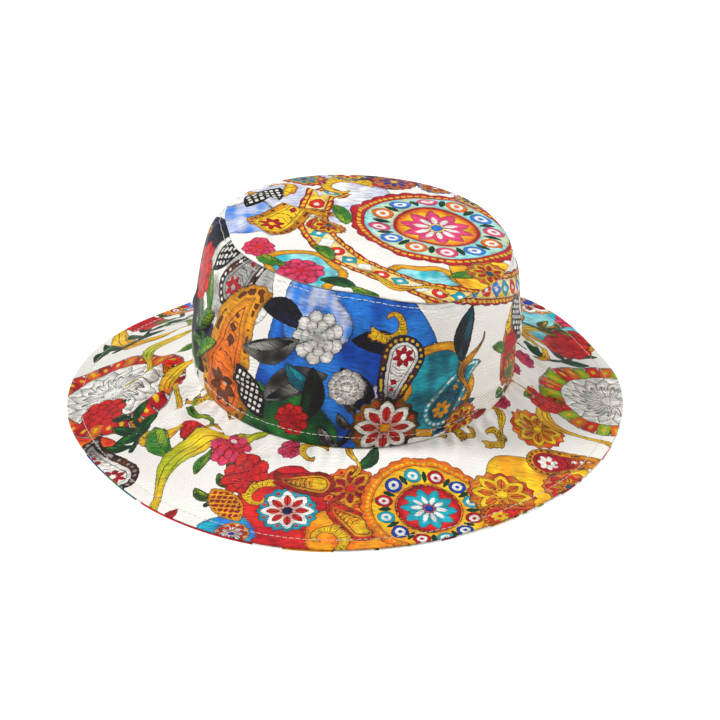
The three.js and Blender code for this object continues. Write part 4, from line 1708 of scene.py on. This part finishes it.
@dataclass(frozen=True)
class ThreadFinish:
    """Finish of the sewing thread: off-white cotton with a twist; noises are in beats to the metre."""

    colour: tuple = (0.90, 0.88, 0.84)
    dull: float = 0.72  # darkest tone, as a factor on the colour
    tone_scale: float = 900.0
    tone_range: tuple = (0.35, 0.65)
    twist_scale: float = 2500.0
    twist_strength: float = 0.6
    twist_height: float = 0.1
    roughness: float = 0.7

    def material(self, name: str) -> Material:
        """Makes the material, whose tone and relief wander along the thread.

        Args:
            name: Name of the material.

        Returns:
            The material.
        """
        made, graph, shader = new_material(name)
        where = graph.node("TexCoord").outputs["Object"]
        tone = graph.ramp(graph.noise(where, self.tone_scale), *self.tone_range)
        base = linear(self.colour)
        graph.feed(shader.inputs["Base Color"], graph.mix(tone, (*(base * self.dull), 1.0), (*base, 1.0)))
        shader.inputs["Roughness"].default_value = self.roughness
        twist = graph.noise(where, self.twist_scale, 1.0)
        graph.feed(shader.inputs["Normal"], graph.bump(twist, self.twist_strength, self.twist_height * MM))
        return made


# ---- The hat's pieces ----

def spread(start: float, end: float, count: int) -> list[float]:
    """Evenly spaced shares from start to end."""
    return np.linspace(start, end, count).tolist()


def cap(face: str, share: float, inwards: float, start: float, end: float, count: int = 3) -> list[Row]:
    """Rows of a rounded cloth edge: half a turn from one face's depth to the other's.

    Args:
        face: The face that the edge lies on.
        share: The edge's share along the section.
        inwards: How much of the share the rounding takes, with its sign.
        start: Depth of the face that the rows come from.
        end: Depth of the face that they go to.
        count: Number of rows.

    Returns:
        The rows.
    """
    middle, half = 0.5 * (start + end), 0.5 * (end - start)
    turns = [math.pi * (k + 1) / (count + 1) for k in range(count)]
    return [Row(face, share - inwards * (1 - math.sin(t)), middle - half * math.cos(t)) for t in turns]


@dataclass
class ClothPiece:
    """A printed cloth of the hat: its section, its print and the node that it stands for."""

    form: HatForm
    name: str
    node: str
    slot: str
    columns: int
    print_rows: list[Motif]
    start: float = 0.0
    poles: bool = False
    middle: str = "rim"  # the seam in whose middle the print has its origin

    def rows(self) -> list[Row]:
        """Rows of the section; each kind of piece gives its own."""
        raise NotImplementedError

    def printed(self, row: Row) -> bool:
        """Whether a row lies on the printed side; each kind of piece gives its own rule."""
        raise NotImplementedError

    def places(self, mesh: ClothMesh, points: Array) -> Array:
        """Places on the cut cloth, in plan from the middle of the print."""
        seam = getattr(self.form, self.middle)
        return points[..., :2] - np.array([seam.x, seam.y])

    def corner_places(self, places: Array, corners: Array) -> Array:
        """Places on the cut cloth of the faces' corners."""
        return places[corners]

    def build(self, material: Material) -> Object:
        """Builds the piece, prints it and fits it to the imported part.

        Args:
            material: The cloth's material.

        Returns:
            The object.
        """
        rows = self.rows()
        maker = ClothMesh(self.form, rows, self.columns, self.start, self.poles)
        points = maker.points()
        places = self.places(maker, points)
        on_print = np.repeat([float(self.printed(row)) for row in rows], self.columns)
        if self.poles:
            points, places = (np.concatenate([made.reshape(-1, made.shape[-1]), made[:1].mean(axis=1),
                                              made[-1:].mean(axis=1)]) for made in (points, places))
            on_print = np.concatenate([on_print, on_print[:1], on_print[-1:]])
        points, places = points.reshape(-1, 3), places.reshape(-1, 2)
        corners, sizes = maker.faces()
        obj = make_mesh(self.name, points, corners, sizes, self.corner_places(places, corners))
        cloth = PrintedCloth(places)
        cloth.motifs(self.print_rows)
        cloth.sprinkle(SMALL_PRINT, SPRINKLE_CLEAR, SPRINKLE_TRIES)
        cloth.store(obj.data)
        side = obj.data.attributes.new("printed", "FLOAT", "POINT")
        side.data.foreach_set("value", on_print.astype(np.float32))
        obj.data.materials.append(material)
        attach(obj, BODY)
        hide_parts(self.node)
        LOG.info("%s: %d faces", self.name, len(sizes))
        return obj


@dataclass
class CrownTip(ClothPiece):
    """The flat top of the crown, its edge rolled over the side band and turned down inside it."""

    poles: bool = True
    middle: str = "top"
    hub: float = 0.006  # share at which the rows begin round the middle
    edge_start: float = 0.985
    edge: tuple = ((0.5, 0.05), (0.1, 0.3), (0.0, 0.7))  # distance from the seam and depth of each row
    edge_under: float = 0.2
    turned_end: float = 0.98  # share of the band at which the turned cloth's inner side ends
    under_start: float = 0.94  # share from which the under face runs back to the middle
    rows_out: int = 108
    rows_turned: int = 6
    rows_back: int = 12

    def rows(self) -> list[Row]:
        """Rows from the middle of the upper face to the seam, down inside the band, and back underneath.

        Returns:
            The rows.
        """
        form, cloth, radius = self.form, self.form.crown_cloth, self.form.top.radius
        fold = cloth + form.gap
        turn = 1 - form.allowance / form.band_height
        return ([Row("tip", s, 0) for s in spread(self.hub, self.edge_start, self.rows_out)]
                + [Row("tip", 1 - away / radius, depth) for away, depth in self.edge]
                + [Row("tip", 1 - away / radius, cloth) for away in (self.edge_under, fold)]
                + [Row("band", s, fold) for s in spread(1, turn, self.rows_turned)]
                + [Row("band", s, fold + cloth) for s in spread(turn, self.turned_end, self.rows_turned - 1)]
                + [Row("tip", s, cloth) for s in spread(self.under_start, self.hub, self.rows_back)])

    def printed(self, row: Row) -> bool:
        """The upper face and the outer side of the turned edge are printed."""
        cloth = self.form.crown_cloth
        return row.depth < cloth if row.face == "tip" else row.depth <= cloth + self.form.gap


@dataclass
class CrownSide(ClothPiece):
    """The side band of the crown: one wall with its closing seam at the back."""

    start: float = math.radians(BACK)
    edge: float = 0.3  # height over which its edges round
    outer: tuple = (0.004, 0.996)  # shares between which the rows of each face run
    inner: tuple = (0.99, 0.01)
    rows_up: int = 104
    rows_down: int = 15

    def rows(self) -> list[Row]:
        """Rows up the outer face, over the top edge, down the inner face and round the lower edge.

        Returns:
            The rows.
        """
        cloth = self.form.crown_cloth
        soft = self.edge / self.form.band_height
        return ([Row("band", s, 0) for s in spread(*self.outer, self.rows_up)]
                + cap("band", 1, soft, 0, cloth)
                + [Row("band", s, cloth) for s in spread(*self.inner, self.rows_down)]
                + cap("band", 0, -soft, cloth, 0))

    def printed(self, row: Row) -> bool:
        """The outer face is printed."""
        return row.depth < 0.5 * self.form.crown_cloth

    @property
    def print_radius(self) -> float:
        """Mean radius of the band, which turns angles into millimetres of cloth."""
        return 0.5 * (self.form.base.radius + self.form.top.radius)

    def places(self, mesh: ClothMesh, points: Array) -> Array:
        """Places on the cut cloth: mean arc round from the front, and height up from the foot.

        Args:
            mesh: The cloth's mesh maker.
            points: Its points, rows by columns by three.

        Returns:
            The place of each point.
        """
        height = np.array([row.share for row in mesh.rows])[:, None] * self.form.band_height
        around = (mesh.angles() - mesh.start - math.pi) * self.print_radius
        return np.stack(np.broadcast_arrays(around, height), -1)

    def corner_places(self, places: Array, corners: Array) -> Array:
        """Places of the faces' corners: at the closing seam the last faces run on past the first column.

        Args:
            places: Places of the vertices.
            corners: Corner lists of all faces, end to end.

        Returns:
            The place of each corner.
        """
        made = places[corners].reshape(-1, self.columns, 4, 2)
        made[:, -1, 1:3, 0] += TURN * self.print_radius
        return made.reshape(-1, 2)


@dataclass
class BrimCloth(ClothPiece):
    """One of the brim's two cloths, its inner edge turned up inside the side band."""

    top: float = 0.0
    under: float = 1.0
    printed_below: bool = False
    edge: float = 0.4  # width over which its rim rounds
    turn_start: float = 0.2  # share of the turned edge at which its rows begin
    dense: tuple = (0.008, 0.996)  # shares between which the rows of the printed side run
    sparse: tuple = (0.985, 0.01)  # and those of the other side, back to the rim
    rows_across: int = 74
    rows_turned: int = 3
    rows_back: int = 12

    def rows(self) -> list[Row]:
        """Rows across the upper side, up and down the turned edge, and back across the lower side to the rim.

        Returns:
            The rows.
        """
        form = self.form
        inside = form.crown_cloth + form.gap
        turn = form.allowance / form.band_height
        dense, sparse = spread(*self.dense, self.rows_across), spread(*self.sparse, self.rows_back)
        upper, lower = (sparse[::-1], dense[::-1]) if self.printed_below else (dense, sparse)
        turned = spread(self.turn_start * turn, turn, self.rows_turned)
        return ([Row("brim", s, self.top) for s in upper] + [Row("corner", 0, self.top)]
                + [Row("band", s, inside + self.top) for s in turned]
                + [Row("band", s, inside + self.under) for s in turned[::-1]]
                + [Row("corner", 0, self.under)] + [Row("brim", s, self.under) for s in lower]
                + cap("brim", 0, -self.edge / form.brim_width, self.under, self.top))

    def printed(self, row: Row) -> bool:
        """One side is printed, the upper one or the under cloth's lower one, and so is the rim.

        Args:
            row: A row of the section.

        Returns:
            Whether it is printed.
        """
        form, middle = self.form, 0.5 * (self.top + self.under)
        if row.face == "brim" and row.share < 0.5 * form.hem / form.brim_width:
            return True
        depth = row.depth - (form.crown_cloth + form.gap if row.face == "band" else 0)
        return depth > middle if self.printed_below else depth < middle


@dataclass
class Topstitch:
    """A line of stitches round the hat on one face of the form."""

    form: HatForm
    name: str
    face: str
    share: float
    slot: str
    pitch: float = 3.4
    length: float = 3.2
    thick: float = 0.34
    rise: float = 0.2  # of a stitch's middle over the cloth
    dive: float = 0.42  # from there down to its ends
    blunt: float = 0.02  # least section of its ends, as a share of its middle's
    rings: int = 7
    spokes: int = 6
    round_steps: int = 2880  # in which the line's length is measured
    step: float = 1e-3  # angle to each side over which its direction is taken

    def places(self) -> tuple[Array, Array, Array]:
        """Spaces the stitches evenly along the line.

        Returns:
            The middles of the stitches, and their directions along the line and out of the cloth.
        """
        face = getattr(self.form, self.face)
        share = np.array([[self.share]])
        dense = np.linspace(0, TURN, self.round_steps + 1)[None, :]
        run = np.linalg.norm(np.diff(face(dense, share)[0], axis=0), axis=1)
        run = np.concatenate([[0], np.cumsum(run)])
        count = int(run[-1] / self.pitch)
        at = np.interp((np.arange(count) + 0.5) * run[-1] / count, run, dense[0])[None, :]
        tangent = face(at + self.step, share)[0] - face(at - self.step, share)[0]
        tangent /= np.linalg.norm(tangent, axis=1, keepdims=True)
        return face(at, share)[0], tangent, normals(face, at, share)[0]

    def stitch(self) -> tuple[Array, Array, Array]:
        """One stitch: a spindle that tapers, and whose ends dive in, with high powers of the way.

        Returns:
            How far its points lie along, across and over the line, rings by spokes.
        """
        t, turn = np.meshgrid(np.linspace(0, 1, self.rings), np.linspace(0, TURN, self.spokes + 1)[:-1],
                              indexing="ij")
        thick = self.thick * 0.5 * np.sqrt(np.clip(1 - (2 * t - 1) ** 4, self.blunt, 1))
        arch = self.rise - self.dive * (2 * t - 1) ** 6
        return (t - 0.5) * self.length, thick * np.cos(turn), arch + thick * np.sin(turn)

    def build(self, material: Material) -> Object:
        """Lays the stitches.

        Args:
            material: The thread's material.

        Returns:
            The object.
        """
        centre, tangent, normal = self.places()
        ways = (tangent, np.cross(normal, tangent), normal)
        points = centre[:, None, None] + sum(part[None, ..., None] * way[:, None, None]
                                             for part, way in zip(self.stitch(), ways))
        rings, spokes, count = self.rings, self.spokes, len(centre)
        quads = ring_quads(rings, spokes)[:, ::-1]
        ends = np.array([np.arange(spokes), (rings - 1) * spokes + np.arange(spokes)[::-1]])
        one = np.concatenate([quads.reshape(-1), ends.reshape(-1)])
        sizes = np.tile(np.concatenate([np.full(len(quads), 4), [spokes, spokes]]), count)
        corners = (one[None, :] + (np.arange(count) * rings * spokes)[:, None]).reshape(-1)
        flat = points.reshape(-1, 3)
        obj = make_mesh(self.name, flat, corners, sizes, flat[corners][:, :2])
        obj.data.materials.append(material)
        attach(obj, BODY)
        LOG.info("%s: %d stitches", self.name, count)
        return obj


# ---- The studio ----

@dataclass(frozen=True)
class Lamp:
    """A round soft lamp that points at the hat; lengths in metres, power in watts."""

    name: str
    place: tuple
    size: float
    power: float

    def build(self) -> None:
        """Hangs the lamp."""
        data = bpy.data.lights.new(self.name, "AREA")
        data.shape, data.size, data.energy = "DISK", self.size, self.power
        lamp = bpy.data.objects.new(self.name, data)
        lamp.location = self.place
        lamp.rotation_mode = "QUATERNION"
        lamp.rotation_quaternion = (-Vector(self.place)).to_track_quat("-Z", "Y")
        bpy.context.collection.objects.link(lamp)


@dataclass(frozen=True)
class Floor:
    """A pale round floor whose far edge turns up, so that a low view meets it and not the sky; in metres."""

    flat: float = 9.0  # radius of its flat part
    end: float = 15.0  # radius of the whole
    rise: float = 2.4  # height of its edge
    spokes: int = 64
    rings: int = 9
    colour: tuple = (0.75, 0.75, 0.75)
    glow: float = 0.64
    roughness: float = 0.9
    specular: float = 0.1

    def build(self) -> None:
        """Lays the floor: past its flat part it climbs with the square of the way to its edge."""
        turn = np.linspace(0, TURN, self.spokes + 1)[:-1]
        share = np.linspace(0, 1, self.rings)[:, None]
        radius = self.flat + share * (self.end - self.flat)
        points = np.stack(np.broadcast_arrays(radius * np.cos(turn), radius * np.sin(turn),
                                              self.rise * share ** 2), axis=-1).reshape(-1, 3)
        mesh = bpy.data.meshes.new("floor")
        mesh.from_pydata(points.tolist(), [], [list(range(self.spokes)),
                                               *ring_quads(self.rings, self.spokes).tolist()])
        floor = bpy.data.objects.new("floor", mesh)
        bpy.context.collection.objects.link(floor)
        made, _, shader = new_material("floor")
        shader.inputs["Base Color"].default_value = (*linear(self.colour), 1.0)
        shader.inputs["Roughness"].default_value = self.roughness
        shader.inputs["Specular IOR Level"].default_value = self.specular
        shader.inputs["Emission Color"].default_value = (1.0, 1.0, 1.0, 1.0)
        shader.inputs["Emission Strength"].default_value = self.glow
        mesh.materials.append(made)


@dataclass(frozen=True)
class Studio:
    """Camera at the photograph's angle, a pale floor and soft light; lengths in metres."""

    elevation: float = 27.8
    distance: float = 1.423
    lens: float = 128.07
    sensor: float = 36.0
    shift: tuple = (0.0189, 0.0510)
    sky_colour: tuple = (1.0, 1.0, 1.0)
    sky_strength: float = 0.22
    lamps: tuple = (Lamp("key", (-0.95, -0.3, 1.7), 0.5, 33.0), Lamp("fill", (1.35, 0.05, 1.3), 0.7, 17.0))

    def camera(self) -> None:
        """Puts the camera on its sphere round the rim's middle, looking at it."""
        data = bpy.data.cameras.new("camera")
        data.lens, data.sensor_width = self.lens, self.sensor
        data.shift_x, data.shift_y = self.shift
        cam = bpy.data.objects.new("camera", data)
        climb = math.radians(self.elevation)
        back = Vector((0, -math.cos(climb), math.sin(climb)))
        cam.location = Vector(PART_SHIFT * MM) + back * self.distance
        cam.rotation_mode = "QUATERNION"
        cam.rotation_quaternion = (-back).to_track_quat("-Z", "Y")
        bpy.context.collection.objects.link(cam)
        bpy.context.scene.camera = cam

    def sky(self) -> None:
        """Lights the hat evenly from all sides."""
        world = bpy.data.worlds.new("studio")
        world.use_nodes = True
        sky = world.node_tree.nodes["Background"]
        sky.inputs["Color"].default_value = (*self.sky_colour, 1.0)
        sky.inputs["Strength"].default_value = self.sky_strength
        bpy.context.scene.world = world

    def build(self) -> None:
        """Builds the camera, the floor and the lights."""
        self.camera()
        Floor().build()
        for lamp in self.lamps:
            lamp.build()
        self.sky()
        bpy.context.scene.view_settings.view_transform = "Standard"


def main() -> None:
    """Builds the studio and the hat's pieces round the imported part."""
    logging.basicConfig(level=logging.INFO, format="%(name)s: %(message)s")
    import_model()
    Studio().build()
    form = HatForm()
    groups = {"ink": InkLayer().group(), "weave": FiguredCotton().group(), "brush": BrushMarks().group()}
    cotton = ClothFinish().material("printed_cotton", groups)
    thread = ThreadFinish().material("thread")
    for piece in (
        CrownTip(form, "tip_cloth", "crown_tip", "tip_cotton", columns=700, print_rows=TIP_PRINT),
        CrownSide(form, "side_cloth", "crown_side", "side_cotton", columns=760, print_rows=BAND_PRINT),
        BrimCloth(form, "brim_upper", "brim_top_cloth", "brim_cotton", columns=960, print_rows=BRIM_PRINT,
                  top=0.0, under=form.brim_cloth),
        BrimCloth(form, "brim_lower", "brim_under_cloth", "under_cotton", columns=720,
                  print_rows=UNDER_PRINT, top=form.brim_cloth + form.gap, under=form.brim_thickness,
                  rows_across=60, printed_below=True),
    ):
        piece.build(cotton)
    for line in (
        Topstitch(form, "tip_stitches", "band", 1 - TIP_STITCH / form.band_height, "side_cotton"),
        Topstitch(form, "base_stitches", "band", BASE_STITCH / form.band_height, "side_cotton"),
        Topstitch(form, "rim_stitches", "brim", HEM_LINE / form.brim_width, "brim_cotton"),
    ):
        line.build(thread)


if __name__ == "__main__":
    main()
